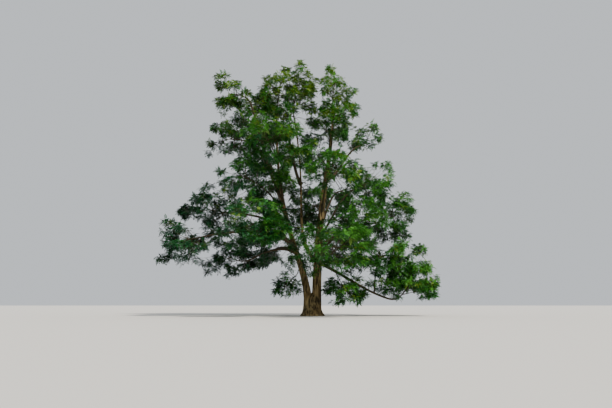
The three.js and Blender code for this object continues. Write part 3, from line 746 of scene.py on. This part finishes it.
# Tufts that stand out at the crown's outline, under the mass that carries them, read as the gaps are.
outerTufts = {
    "upper_left": (
        (219, 77, 4, 3), (225, 75, 4, 3), (222, 85, 6, 4), (235, 85, 5, 4), (246, 94, 5, 4),
        (220, 101, 5, 3), (231, 101, 6, 4), (224, 113, 4, 3), (243, 104, 8, 4), (256, 99, 5, 4),
        (242, 114, 8, 5), (234, 118, 5, 3),
    ),
    "left_shoulder": (
        (216, 128, 5, 4), (226, 124, 6, 3), (226, 133, 7, 3), (214, 144, 4, 2), (210, 153, 4, 3),
        (232, 144, 6, 3), (242, 145, 5, 4),
    ),
    "left_upper": ((222, 172, 5, 2), (238, 166, 6, 4), (249, 162, 7, 4)),
    "left_mid": (
        (207, 186, 6, 3), (202, 190, 4, 3), (205, 196, 7, 4), (187, 212, 9, 4), (202, 209, 6, 4),
        (226, 190, 7, 4), (222, 207, 8, 4), (210, 233, 6, 4), (222, 231, 7, 3), (233, 198, 7, 3),
        (240, 212, 8, 5), (211, 187, 4, 2), (188, 217, 6, 2),
    ),
    "far_left": (
        (170, 222, 6, 3), (174, 237, 7, 4), (188, 241, 7, 4), (173, 248, 6, 4), (166, 258, 8, 3),
        (158, 259, 4, 2), (184, 256, 7, 3), (207, 246, 7, 4), (193, 235, 4, 3), (177, 227, 5, 3),
        (173, 255, 7, 3), (189, 252, 6, 3), (166, 221, 4, 3),
    ),
    "left_low": (
        (221, 262, 6, 3), (210, 271, 6, 2), (228, 275, 4, 2), (217, 259, 5, 3), (235, 272, 6, 3),
        (230, 266, 6, 3), (203, 264, 4, 2), (229, 253, 6, 3), (246, 256, 7, 4), (262, 258, 7, 4),
        (249, 264, 7, 3), (212, 263, 7, 3), (217, 269, 6, 3), (206, 273, 4, 2),
    ),
    "hang_left": (
        (281, 285, 5, 4), (277, 291, 4, 3), (290, 284, 6, 3), (290, 265, 3, 7), (285, 277, 4, 3),
        (298, 283, 4, 3),
    ),
    "hang_right": (
        (333, 281, 6, 5), (345, 284, 7, 5), (343, 298, 5, 4), (356, 294, 5, 4), (328, 291, 4, 3),
        (341, 275, 5, 3), (350, 294, 5, 3),
    ),
    "right_low_inner": ((373, 262, 7, 6), (351, 273, 6, 3), (378, 271, 7, 6), (389, 259, 6, 5)),
    "inner_right": ((307, 263, 4, 7), (333, 221, 5, 3), (322, 223, 5, 5), (318, 237, 5, 5)),
    "front_low": ((311, 229, 6, 4), (305, 256, 4, 3)),
    "inner_left": ((293, 259, 4, 6), (290, 219, 5, 6)),
    "back_low_left": ((266, 247, 7, 3), (280, 247, 6, 3), (265, 263, 6, 3), (276, 253, 4, 3)),
    "back_centre": ((309, 194, 6, 5), (298, 228, 6, 4), (311, 211, 7, 5), (303, 219, 5, 4)),
    "right_low": (
        (419, 250, 7, 6), (411, 257, 5, 3), (433, 284, 4, 4), (430, 295, 7, 3), (386, 291, 9, 3),
        (399, 257, 7, 4), (423, 271, 6, 6), (423, 296, 7, 3), (408, 276, 8, 4), (424, 284, 6, 4),
        (393, 249, 7, 4), (412, 267, 8, 5), (403, 284, 9, 5), (415, 288, 8, 5), (394, 272, 8, 5),
        (381, 258, 6, 4), (402, 246, 4, 4), (436, 277, 4, 3), (378, 288, 5, 3),
    ),
    "right_mid": (
        (406, 195, 4, 3), (403, 205, 5, 4), (409, 208, 4, 4), (410, 219, 4, 3), (406, 236, 4, 3),
        (396, 218, 7, 4), (407, 243, 3, 3), (382, 238, 7, 4), (391, 214, 5, 4), (378, 229, 7, 4),
        (368, 224, 6, 4),
    ),
    "right_upper": (
        (385, 164, 5, 3), (388, 168, 3, 3), (376, 165, 4, 2), (376, 174, 4, 2), (381, 195, 6, 3),
        (364, 195, 6, 3), (387, 183, 4, 2),
    ),
    "right_tuft": (
        (373, 127, 5, 3), (364, 134, 7, 5), (379, 138, 3, 3), (371, 146, 5, 3), (357, 145, 5, 3),
        (366, 149, 5, 2), (361, 140, 4, 3),
    ),
    "crown_right": (
        (330, 71, 4, 5), (325, 82, 5, 3), (335, 83, 5, 4), (344, 83, 3, 2), (353, 91, 3, 2),
        (331, 90, 4, 4), (336, 98, 6, 4), (323, 91, 4, 4),
    ),
    "upper_right": (
        (351, 106, 4, 3), (353, 114, 4, 4), (344, 106, 5, 4), (346, 123, 5, 3), (348, 133, 3, 3),
        (331, 122, 7, 4), (340, 120, 5, 4), (335, 138, 5, 3), (343, 131, 5, 3),
    ),
    "top": (
        (300, 65, 4, 4), (308, 75, 3, 3), (286, 70, 4, 3), (316, 81, 4, 2), (296, 78, 4, 4),
        (303, 107, 4, 5), (289, 98, 7, 3), (311, 112, 6, 3), (299, 84, 7, 4), (291, 88, 6, 3),
        (309, 86, 5, 4), (303, 94, 6, 3), (311, 124, 7, 4), (319, 132, 6, 4), (308, 133, 4, 3),
    ),
    "crown_left": (
        (267, 79, 4, 3), (275, 79, 4, 3), (266, 90, 4, 4), (277, 90, 5, 4), (277, 113, 8, 6),
        (270, 112, 6, 5), (270, 85, 6, 3),
    ),
    "front_right_high": ((309, 151, 7, 5), (312, 143, 6, 3), (313, 158, 6, 4)),
    "front_left_high": (
        (272, 142, 9, 5), (283, 134, 7, 5), (262, 151, 8, 4), (286, 149, 8, 4), (254, 143, 7, 4),
        (274, 157, 8, 4), (283, 164, 6, 4),
    ),
    "front_left": (
        (262, 226, 9, 5), (272, 218, 8, 5), (256, 237, 8, 4), (246, 231, 7, 4), (268, 240, 8, 3),
        (276, 235, 7, 4), (284, 228, 6, 5),
    ),
}
tuftRule = {
    "deep": 1.1, "depthSpread": 0.45, "setBack": 0.5, "past": 0.5, "bow": 0.35, "radius": 0.011,
    "spareShare": 0.4, "rootsFrom": (0.05, 0.95, 19),
}


# Whether a point lies in one of the gaps, looked at along its line of sight from the camera.
def inSkyGap(point, margin=0.0, edge=1.0):
    scale = eye[1] / (eye[1] - point[1])
    x = eye[0] + (point[0] - eye[0]) * scale
    z = eye[2] + (point[2] - eye[2]) * scale
    across = (x - gapTable[:, 0]) / (gapTable[:, 2] + margin)
    upwards = (z - gapTable[:, 1]) / (gapTable[:, 3] + margin)
    return bool(np.any(across ** 2 + upwards ** 2 < edge))


twigLines = []  # (line, foot radius, tip radius, level)
shoots = []  # (line, foot radius, mass number)


# One child of a line, or nothing where it has no room. It is shortened until its tip leaves the gaps.
def growChild(mass, number, draw, root, along, radius, level, reach):
    rule = crown["levels"][level]
    for cut in crown["cuts"]:
        length = reach * cut
        tip = root + (along + upward * rule["lift"] * (1 - abs(along[2]))) * length
        if not inSkyGap(tip, gapRule["margin"]):
            break
    else:
        return
    if length < rule["shortest"] or tip[2] < crown["lowest"]:
        return
    child = np.array([root, root + along * length * crown["bend"], tip])
    if level == len(crown["levels"]) - 1:
        shoots.append((child, radius, number))
        return
    tipRadius = max(radius * crown["tipRadius"], rule["finest"] * crown["finestTip"])
    twigLines.append((child, radius, tipRadius, level))
    growFrom(mass, number, draw, child, radius, level + 1)


# The children along one line. Inner twigs have no mass's space to keep to, so they only keep short.
def growFrom(mass, number, draw, line, radius, level):
    rule = crown["levels"][level]
    turn = 360 * draw()
    length = np.linalg.norm(line[-1] - line[0])
    fullness = crown["fullness"].get(mass["name"], 1.0) if mass and level == mass["firstLevel"] else 1.0
    count = max(1, round(length * (1 - rule["first"]) / rule["apart"] * fullness))
    shares = [rule["first"] + (1 - rule["first"]) * (i + 0.5) / count for i in range(count)]
    for share in shares + [crown["tipAt"]]:
        turn += crown["turn"]
        axis = tangentOn(line, share)
        spread = crown["tipSpread"] if share == crown["tipAt"] else rule["spread"]
        along = spreadFrom(axis, between(draw, spread), turn + between(draw, crown["jitter"]))
        along = unit(along * (1, 1, rule["flat"]))
        root = pointOn(line, share)
        reach = between(draw, rule["longest"])
        if mass:
            left = room(mass, root, along) - rule["spare"] * mass["spareShare"]
            reach = min(reach, left * between(draw, rule["share"]))
        thick = max(rule["finest"], radius * rule["thick"] * (1 - crown["thinning"] * share))
        growChild(mass, number, draw, root, along, thick, level, reach)


# Twigs along a limb itself, from above its lower part. Each takes the number of the mass nearest to it.
def growInside(limb, draw):
    line = limb["line"]
    length = np.linalg.norm(line[-1] - line[0])
    lowest = shareAtHeight(limb, innerTwigs["above"]) if line[0][2] < tiny else 0
    first = max(innerTwigs["first"], lowest)
    count = round(length * (1 - first) / innerTwigs["apart"])
    turn = 360 * draw()
    for i in range(count):
        share = first + (1 - first) * (i + 0.5) / count
        root = pointOn(line, share)
        turn += crown["turn"]
        along = spreadFrom(tangentOn(line, share), between(draw, innerTwigs["spread"]), turn)
        apart = [np.linalg.norm(mass["centre"] - root) for mass in massList]
        reach = between(draw, innerTwigs["longest"])
        growChild(None, int(np.argmin(apart)), draw, root, along, innerTwigs["radius"], 0, reach)


# A tuft that stands out: one twig from its mass's stem to it, with branchlets where it runs through it.
def growTuft(mass, number, draw, x, z, wide, high):
    y = mass["centre"][1] + mass["size"].min() * tuftRule["depthSpread"] * (2 * draw() - 1)
    scale = (eye[1] - y) / eye[1]
    centre = np.array([eye[0] + (x - eye[0]) * scale, y, eye[2] + (z - eye[2]) * scale])
    size = np.array([wide, max(wide, high) * tuftRule["deep"], high])
    tuft = {"name": "tuft", "centre": centre, "size": size, "axes": np.eye(3), "planes": (), "firstLevel": 2,
            "spareShare": tuftRule["spareShare"]}
    shares = np.linspace(*tuftRule["rootsFrom"])
    places = np.array([pointOn(mass["line"], share) for share in shares])
    nearest = np.argmin(np.linalg.norm(places - centre, axis=1))
    length = np.linalg.norm(mass["line"][-1] - mass["line"][0])
    apart = np.linalg.norm(places[nearest] - centre)
    share = max(shares[0], shares[nearest] - tuftRule["setBack"] * apart / length)
    root = pointOn(mass["line"], share)
    way = unit(centre - root)
    tip = centre + way * support(tuft, way) * tuftRule["past"]
    bend = root + (tangentOn(mass["line"], share) + way) * np.linalg.norm(tip - root) * tuftRule["bow"]
    line = np.array([root, bend, tip])
    twigLines.append((line, tuftRule["radius"], tuftRule["radius"] * crown["tipRadius"], 0))
    for level in (1, 2):
        growFrom(tuft, number, draw, line, tuftRule["radius"], level)


for number, mass in enumerate(massList):
    draw = seeded(crown["firstSeed"] + crown["seedStep"] * number)
    stemTip = limbRule["stemTipRadius"] * crown["massStemTip"]
    twigLines.append((mass["line"], mass["footRadius"], stemTip, -1))
    growFrom(mass, number, draw, mass["line"], mass["footRadius"], 0)
    for tuftPlace in outerTufts.get(mass["name"], ()):
        growTuft(mass, number, draw, *ellipseAt(*tuftPlace))
for number, (name, limb) in enumerate(limbs.items()):
    if name in stems or name.startswith("bough_"):
        seed = crown["firstSeed"] - crown["seedStep"] * (number + 1) + crown["insideSeeds"]
        growInside(limb, seeded(seed))
print(len(twigLines), "twigs", len(shoots), "shoots")


# One pinnate leaf, along +X with its face up: pairs of leaflets and one at the end, on a stalk that
# droops. Sizes are an ash's, a little larger than life. Leaflets are largest half-way, and spread less
# towards the tip. Three forms differ in their pairs, and in how far they droop and fold.
ashLeaf = {
    "length": 0.205, "pairsFrom": 0.25, "pairsTo": 0.94, "stalkWidth": 0.008,
    "leaflet": 0.104, "leafletWidth": 0.057, "widest": 0.5, "least": 0.86, "swell": 0.14,
    "leafletSpread": 62, "closing": 14, "endLeafletAt": 0.98, "endLeaflet": 1.05,
    "pairs": (3, 4, 3), "droops": (0.03, 0.07, 0.11), "folds": (6, 14, 20),
}

# Leaves stand in pairs along each shoot, each pair a quarter turn on from the last, and one at its tip.
# Each is drawn flatter than it grows and sags a little, and reaches past the solids' own box by no more
# than the last figure.
leafing = {
    "seed": 1001, "axisAt": 0.9, "pairsAt": (0.6, 0.95), "pairSpread": ((66, 92), (42, 70)),
    "endAt": 0.98, "endSpread": (0, 15), "jitter": 40, "tilt": (-34, 34), "flat": 0.62, "sag": 0.1,
    "size": (0.8, 1.2), "gapTestAt": 0.7, "steepest": 0.05, "reachPast": 0.38,
}


def dealLeaves():
    leaves = []
    draw = seeded(leafing["seed"])
    longest = (ashLeaf["length"] + ashLeaf["leaflet"]) * leafing["size"][1]
    stations = [
        (share, spread, half)
        for share, spread in zip(leafing["pairsAt"], leafing["pairSpread"]) for half in (0, 1)
    ] + [(leafing["endAt"], leafing["endSpread"], 0)]
    for group, (line, _, number) in enumerate(shoots):
        turn = 360 * draw()
        axis = tangentOn(line, leafing["axisAt"])
        for share, spread, half in stations:
            turn += 180 if half else 90
            way = spreadFrom(axis, between(draw, spread), turn + leafing["jitter"] * (draw() - 0.5))
            way = unit(way * (1, 1, leafing["flat"]))
            place = pointOn(line, share)
            middle = place + way * ashLeaf["length"] * leafing["gapTestAt"]
            if inSkyGap(middle, edge=between(draw, gapRule["edge"])):
                continue
            past = np.maximum(boxLow - (place + way * longest), place + way * longest - boxHigh)
            if np.any(past > leafing["reachPast"]):
                continue
            size = between(draw, leafing["size"])
            tilt = math.radians(between(draw, leafing["tilt"]))
            leaves.append((place, way, number, size, tilt, group))
    return [np.array(column) for column in zip(*leaves)]


leafPlaces, leafWays, leafOwners, leafSizes, leafTilts, leafGroups = dealLeaves()
print(len(leafPlaces), "leaves")


def leafArrays(pairs, droop, fold):
    vertices, faces = [], []
    length = ashLeaf["length"]

    def stalkAt(share):
        return np.array([length * share, 0.0, -droop * share ** 2])

    def leaflet(root, heading, size, lean):
        along = np.array([math.cos(heading), math.sin(heading), -math.sin(lean)])
        across = np.array([-math.sin(heading), math.cos(heading), 0.0])
        middle = root + along * size * ashLeaf["widest"]
        half = across * ashLeaf["leafletWidth"] / 2 * size / ashLeaf["leaflet"]
        start = len(vertices)
        vertices.extend([root, middle - half, root + along * size, middle + half])
        faces.append((start, start + 1, start + 2, start + 3))

    half = np.array([0.0, ashLeaf["stalkWidth"] / 2, 0.0])
    vertices.extend([stalkAt(0), stalkAt(0.5) - half, stalkAt(1), stalkAt(0.5) + half])
    faces.extend([(0, 1, 3), (1, 2, 3)])
    for pair in range(pairs):
        along = pair / (pairs - 0.5)
        share = ashLeaf["pairsFrom"] + (ashLeaf["pairsTo"] - ashLeaf["pairsFrom"]) * along
        size = ashLeaf["leaflet"] * (ashLeaf["least"] + ashLeaf["swell"] * math.sin(math.pi * share))
        for side in (-1, 1):
            heading = side * math.radians(ashLeaf["leafletSpread"] - ashLeaf["closing"] * share)
            leaflet(stalkAt(share), heading, size, math.radians(fold))
    endSize = ashLeaf["leaflet"] * ashLeaf["endLeaflet"]
    leaflet(stalkAt(ashLeaf["endLeafletAt"]), 0.0, endSize, 2 * droop / length)
    return np.array(vertices), faces


leafForms = [
    meshObject(f"leaf_form_{number}", *leafArrays(*form))
    for number, form in enumerate(zip(ashLeaf["pairs"], ashLeaf["droops"], ashLeaf["folds"]))
]


# Leaf tints, dealt out by shoot: deep in the shade of the crown, bright where the sun falls, so painted
# shade and painted sunlight. The bluish family is painted sky light in the shade at the lower left, and
# the olive family is partly the leaves' own olive, at random, and partly painted backlight at the top.
leafTints = {
    "ash leaf": ("#0b370b", "#195014", "#286618", "#468626"),
    # bluish: painted sky light in the shade
    "ash leaf with painted sky shade": ("#0a3819", "#154d2a", "#1f5f2c", "#33752f"),
    # olive: partly the leaves' own olive, partly painted backlight at the top
    "olive ash leaf, partly painted backlight": ("#1b330a", "#314f12", "#4c6b1d", "#6c8f2c"),
}
leafLight = ("in deep shade", "in shade", "half lit", "in sun")


# An ash leaflet: thin, matt green with a faint waxy gloss that breaks up over its veins. Those are
# 3 mm apart and drawn at 12 mm, to show. Each tint is a plain colour, and only its gloss has a pattern.
leafGloss = {"veins": 0.012, "range": (0.3, 0.7, 0.42, 0.62), "gloss": 0.25}


def leafMaterial(name, hexColour):
    material = newMaterial(name)
    tree = material.node_tree
    place = addNode(tree, "ShaderNodeTexCoord").outputs["Object"]
    veins = addNode(
        tree, "ShaderNodeTexNoise", {"Vector": place, "Scale": 1 / leafGloss["veins"], "Detail": 2.0},
    )
    gloss = addNode(
        tree, "ShaderNodeMapRange",
        {"Value": veins.outputs["Fac"], **dict(zip(rangeInputs, leafGloss["range"]))},
    )
    surface = addNode(
        tree, "ShaderNodeBsdfPrincipled",
        {"Base Color": linear(hexColour), "Roughness": gloss.outputs[0],
         "Specular IOR Level": leafGloss["gloss"]},
    )
    addNode(tree, "ShaderNodeOutputMaterial", {"Surface": surface.outputs["BSDF"]})
    return material


leafMaterials = [
    leafMaterial(name + " " + lit, colour)
    for name, colours in leafTints.items() for lit, colour in zip(leafLight, colours)
]

# Regions of the crown, each made as one piece of leaves. The masses' names say where they lie.
regions = {
    "leaves_top": ("top", "crown_left", "crown_right", "upper_right", "right_tuft"),
    "leaves_upper_left": ("upper_left", "left_shoulder", "front_left_high", "left_upper"),
    "leaves_left": ("left_mid", "far_left", "left_low", "front_left", "hang_left"),
    "leaves_right": ("right_upper", "right_mid", "right_low", "right_low_inner", "hang_right"),
    "leaves_front": ("front_right_high", "front_low", "inner_right", "inner_left"),
    "leaves_back_low": ("back_centre", "back_low_right", "back_low_left"),
    "leaves_back": ("back_left", "back_right", "back_high_left", "back_high_right"),
}

light = {"sunHeading": -52, "sunSlope": 48}

# The tint of each shoot. Its score is how far it faces the sun from its mass's middle and from the
# crown's, and chance, and low sprays, out of the crown's shade, have a little more. The steps cut the
# shoots, in the order of their scores, into the four kinds of light, from painted shade to painted sun.
# Olive, partly the leaves' own at random and partly painted backlight, is commoner towards the top, and
# the bluish tints, painted sky light in the shade, lie at the lower left.
tinting = {
    "facing": 0.5, "wide": 0.8, "crownHeart": (-0.6, 0.0, 7.5), "crownReach": 8.5,
    "low": 0.45, "lowBelow": 5, "fade": 4, "steps": (0.28, 0.6, 0.87), "seed": 1014,
    # olive: partly the leaves' own olive at random, partly painted backlight towards the top
    "oliveAndBacklight": 0.75, "paintedBacklightAbove": 10, "oliveLeast": 0.12,
    # bluish tints at the lower left: painted sky light in the shade
    "paintedSkyShade": 0.8, "paintedSkyShadeLeftOf": -0.5, "paintedSkyShadeFade": 5, "paintedSkyShadeBelow": 11,
}


# The tint's number for each shoot, counted through the families.
def tintOf():
    tips = np.array([line[-1] for line, _, _ in shoots])
    hearts = np.array([massList[number]["centre"] for _, _, number in shoots])
    sizes = np.array([massList[number]["size"].mean() for _, _, number in shoots])
    x, z, fade = tips[:, 0], tips[:, 2], tinting["fade"]
    sun = direction(light["sunHeading"], light["sunSlope"])
    outward = (tips - hearts) / sizes[:, None]
    wide = (tips - np.array(tinting["crownHeart"])) @ sun / tinting["crownReach"]
    low = np.clip((tinting["lowBelow"] - z) / fade, 0, 1)
    draw = seeded(tinting["seed"])
    chance = np.array([draw() for _ in shoots])
    score = tinting["facing"] * outward @ sun + tinting["wide"] * wide + (chance - 0.5) + tinting["low"] * low
    order = np.argsort(np.argsort(score)) / len(shoots)
    level = np.digitize(order, tinting["steps"])
    # Painted backlight: olive grows commoner towards the top, over a least share of olive dealt at random.
    oliveAndBacklight = tinting["oliveAndBacklight"] * np.clip((z - tinting["paintedBacklightAbove"]) / fade, tinting["oliveLeast"], 1)
    # Painted sky light in the shade: bluish tints at the lower left.
    left = np.clip((tinting["paintedSkyShadeLeftOf"] - x) / tinting["paintedSkyShadeFade"], 0, 1)
    paintedSkyShade = tinting["paintedSkyShade"] * left * np.clip((tinting["paintedSkyShadeBelow"] - z) / fade, 0, 1)
    kind = np.array([draw() for _ in shoots])
    family = np.where(kind < oliveAndBacklight, 2, np.where(kind > 1 - paintedSkyShade, 1, 0))
    return family * len(leafLight) + level


shootTints = tintOf()


# Each leaf's frame: its length along its way, sagging a little, and its face turned up to the light.
def leafTurns(ways, tilts):
    x = ways - leafing["sag"] * upward
    x /= np.linalg.norm(x, axis=1)[:, None]
    y = np.cross(upward, x)
    y[np.linalg.norm(y, axis=1) < leafing["steepest"]] = (0.0, 1.0, 0.0)
    y /= np.linalg.norm(y, axis=1)[:, None]
    z = np.cross(x, y)
    c, s = np.cos(tilts)[:, None], np.sin(tilts)[:, None]
    y, z = y * c + z * s, z * c - y * s
    pitch = np.arcsin(np.clip(-x[:, 2], -1, 1))
    roll = np.arctan2(y[:, 2], z[:, 2])
    yaw = np.arctan2(x[:, 1], x[:, 0])
    return np.stack([roll, pitch, yaw], axis=1)


leafEulers = leafTurns(leafWays, leafTilts)


# A tree of geometry nodes whose inputs, besides its geometry, have these names and kinds.
def newTree(name, kinds):
    tree = bpy.data.node_groups.new(name, "GeometryNodeTree")
    for way in ("INPUT", "OUTPUT"):
        tree.interface.new_socket("Geometry", in_out=way, socket_type="NodeSocketGeometry")
    for socketName, kind in kinds.items():
        tree.interface.new_socket(socketName, in_out="INPUT", socket_type="NodeSocket" + kind)
    return tree


# Leaves set on points: each point carries its leaf's form, turn, size and tint.
def leafTree():
    names = [f"Leaf Form {k + 1}" for k in range(len(leafForms))]
    tints = [f"Tint {k + 1}" for k in range(len(leafMaterials))]
    kinds = {**dict.fromkeys(names, "Object"), "Leaf Size": "Float", **dict.fromkeys(tints, "Material")}
    tree = newTree("pinnate leaves on shoots", kinds)
    inputs = addNode(tree, "NodeGroupInput").outputs
    forms = addNode(tree, "GeometryNodeJoinGeometry")
    for name in reversed(names):
        form = addNode(tree, "GeometryNodeObjectInfo", {"Object": inputs[name], "As Instance": True})
        tree.links.new(form.outputs["Geometry"], forms.inputs["Geometry"])
    stored = {
        name: addNode(tree, "GeometryNodeInputNamedAttribute", {"Name": name}, data_type=kind).outputs[0]
        for name, kind in leafValues.items()
    }
    turned = addNode(tree, "FunctionNodeEulerToRotation", {"Euler": stored["leafTurn"]})
    scaled = addNode(
        tree, "ShaderNodeMath", {0: stored["leafSize"], 1: inputs["Leaf Size"]}, operation="MULTIPLY",
    )
    leaves = addNode(
        tree, "GeometryNodeInstanceOnPoints",
        {"Points": inputs["Geometry"], "Instance": forms.outputs["Geometry"], "Pick Instance": True,
         "Instance Index": stored["leafForm"], "Rotation": turned.outputs[0], "Scale": scaled.outputs[0]},
    )
    geometry = addNode(tree, "GeometryNodeRealizeInstances", {"Geometry": leaves.outputs[0]}).outputs[0]
    for number, name in enumerate(tints):
        mine = addNode(
            tree, "FunctionNodeCompare", {2: stored["leafTint"], 3: number},
            data_type="INT", operation="EQUAL",
        )
        geometry = addNode(
            tree, "GeometryNodeSetMaterial",
            {"Geometry": geometry, "Selection": mine.outputs[0], "Material": inputs[name]},
        ).outputs[0]
    addNode(tree, "NodeGroupOutput", {"Geometry": geometry})
    return tree


# Grows a piece by a tree with these inputs, and leaves it a plain mesh.
def growPiece(piece, tree, values):
    grow = piece.modifiers.new(tree.name, "NODES")
    grow.node_group = tree
    for item in tree.interface.items_tree:
        if item.item_type == "SOCKET" and item.in_out == "INPUT" and item.name in values:
            grow[item.identifier] = values[item.name]
    settle(piece)


leafRule = leafTree()
leafInputs = {f"Leaf Form {k + 1}": form for k, form in enumerate(leafForms)}
leafInputs.update({f"Tint {k + 1}": material for k, material in enumerate(leafMaterials)})
leafInputs["Leaf Size"] = 1.0


def makeLeaves(name, massNames):
    numbers = [k for k, mass in enumerate(massList) if mass["name"] in massNames]
    mine = np.flatnonzero(np.isin(leafOwners, numbers))
    piece = meshObject(name, leafPlaces[mine], [])
    storeOn(piece.data, leafValues, {
        "leafForm": mine % len(leafForms), "leafTurn": leafEulers[mine], "leafSize": leafSizes[mine],
        "leafTint": shootTints[leafGroups[mine]],
    })
    growPiece(piece, leafRule, leafInputs)
    finishPiece(piece, ["foliage_" + massName for massName in massNames])


for regionName, regionMasses in regions.items():
    makeLeaves(regionName, regionMasses)
for form in leafForms:
    bpy.data.objects.remove(form)
print("leaves done")


# Twigs follow their lines: each point carries its radius, and finer twigs have fewer sides.
def twigTree():
    tree = newTree("twigs along lines", {"Sides": "Int", "Thickness": "Float", "Bark": "Material"})
    inputs = addNode(tree, "NodeGroupInput").outputs
    lines = addNode(tree, "GeometryNodeMeshToCurve", {"Mesh": inputs["Geometry"]})
    radius = addNode(tree, "GeometryNodeInputNamedAttribute", {"Name": "twigRadius"}, data_type="FLOAT")
    thick = addNode(
        tree, "ShaderNodeMath", {0: radius.outputs[0], 1: inputs["Thickness"]}, operation="MULTIPLY",
    )
    ring = addNode(tree, "GeometryNodeCurvePrimitiveCircle", {"Resolution": inputs["Sides"], "Radius": 1.0})
    skin = addNode(
        tree, "GeometryNodeCurveToMesh",
        {"Curve": lines.outputs[0], "Profile Curve": ring.outputs[0], "Scale": thick.outputs[0],
         "Fill Caps": False},
    )
    smooth = addNode(tree, "GeometryNodeSetShadeSmooth", {"Geometry": skin.outputs[0], "Shade Smooth": True})
    real = addNode(tree, "GeometryNodeRealizeInstances", {"Geometry": smooth.outputs[0]})
    bark = addNode(tree, "GeometryNodeSetMaterial", {"Geometry": real.outputs[0], "Material": inputs["Bark"]})
    addNode(tree, "NodeGroupOutput", {"Geometry": bark.outputs[0]})
    return tree


# Sides and lengths of each kind of twig: a mass's own stem, its twigs, branchlets and shoots.
twigSkins = {
    "mass_stems": {"level": -1, "sides": 9, "steps": 10},
    "twigs": {"level": 0, "sides": 5, "steps": 4},
    "branchlets": {"level": 1, "sides": 3, "steps": 2},
    "shoots": {"level": 2, "sides": 3, "steps": 1},
}

twigRule = twigTree()


def makeTwigs(name, skin):
    steps = skin["steps"]
    points, edges, radii = [], [], []
    for line, footRadius, tipRadius, level in twigLines:
        if level != skin["level"]:
            continue
        start = len(points)
        for i in range(steps + 1):
            points.append(pointOn(line, i / steps))
            radii.append(footRadius + (tipRadius - footRadius) * i / steps)
            if i:
                edges.append((start + i - 1, start + i))
    piece = meshObject(name, points, [], edges)
    storeOn(piece.data, twigValues, {"twigRadius": radii})
    growPiece(piece, twigRule, {"Sides": skin["sides"], "Thickness": 1.0, "Bark": youngAshBark})
    finishPiece(piece)


twigLines += [(line, foot, foot * crown["tipRadius"], 2) for line, foot, _ in shoots]
for skinName, skin in twigSkins.items():
    makeTwigs(skinName, skin)
print("twigs done")


# Floor, light and camera

studio = {
    "floor": "#dcdad4", "floorReach": 400, "floorRoughness": 0.9, "air": "#e8edf2", "airStrength": 0.85,
    "sun": "#fff6ea", "sunStrength": 4.3, "sunSize": 9,
}


def makeStudio():
    scene = bpy.context.scene
    reach = studio["floorReach"]
    corners = [(-reach, -reach, 0), (reach, -reach, 0), (reach, reach, 0), (-reach, reach, 0)]
    floor = meshObject("floor", corners, [(0, 1, 2, 3)])
    material = bpy.data.materials.new("pale studio floor")
    material.use_nodes = True
    surface = material.node_tree.nodes["Principled BSDF"]
    surface.inputs["Base Color"].default_value = linear(studio["floor"])
    surface.inputs["Roughness"].default_value = studio["floorRoughness"]
    floor.data.materials.append(material)
    world = bpy.data.worlds.new("studio air")
    world.use_nodes = True
    air = world.node_tree.nodes["Background"]
    air.inputs["Color"].default_value = linear(studio["air"])
    air.inputs["Strength"].default_value = studio["airStrength"]
    scene.world = world
    lamp = bpy.data.lights.new("sun", "SUN")
    lamp.energy = studio["sunStrength"]
    lamp.angle = math.radians(studio["sunSize"])
    lamp.color = linear(studio["sun"])[:3]
    away = Vector(direction(light["sunHeading"], light["sunSlope"]))
    newObject("sun", lamp).rotation_euler = away.to_track_quat("Z", "Y").to_euler()
    lens = bpy.data.cameras.new("camera")
    lens.lens = camera["focal"]
    lens.sensor_width = camera["sensor"]
    lens.clip_end = camera["farthest"]
    scene.camera = newObject("camera", lens)
    scene.camera.location = eye
    scene.camera.rotation_euler = (math.radians(90 + camera["pitch"]), 0, 0)


makeStudio()
print("cad box", [round(v, 2) for c in cadBox for v in c])
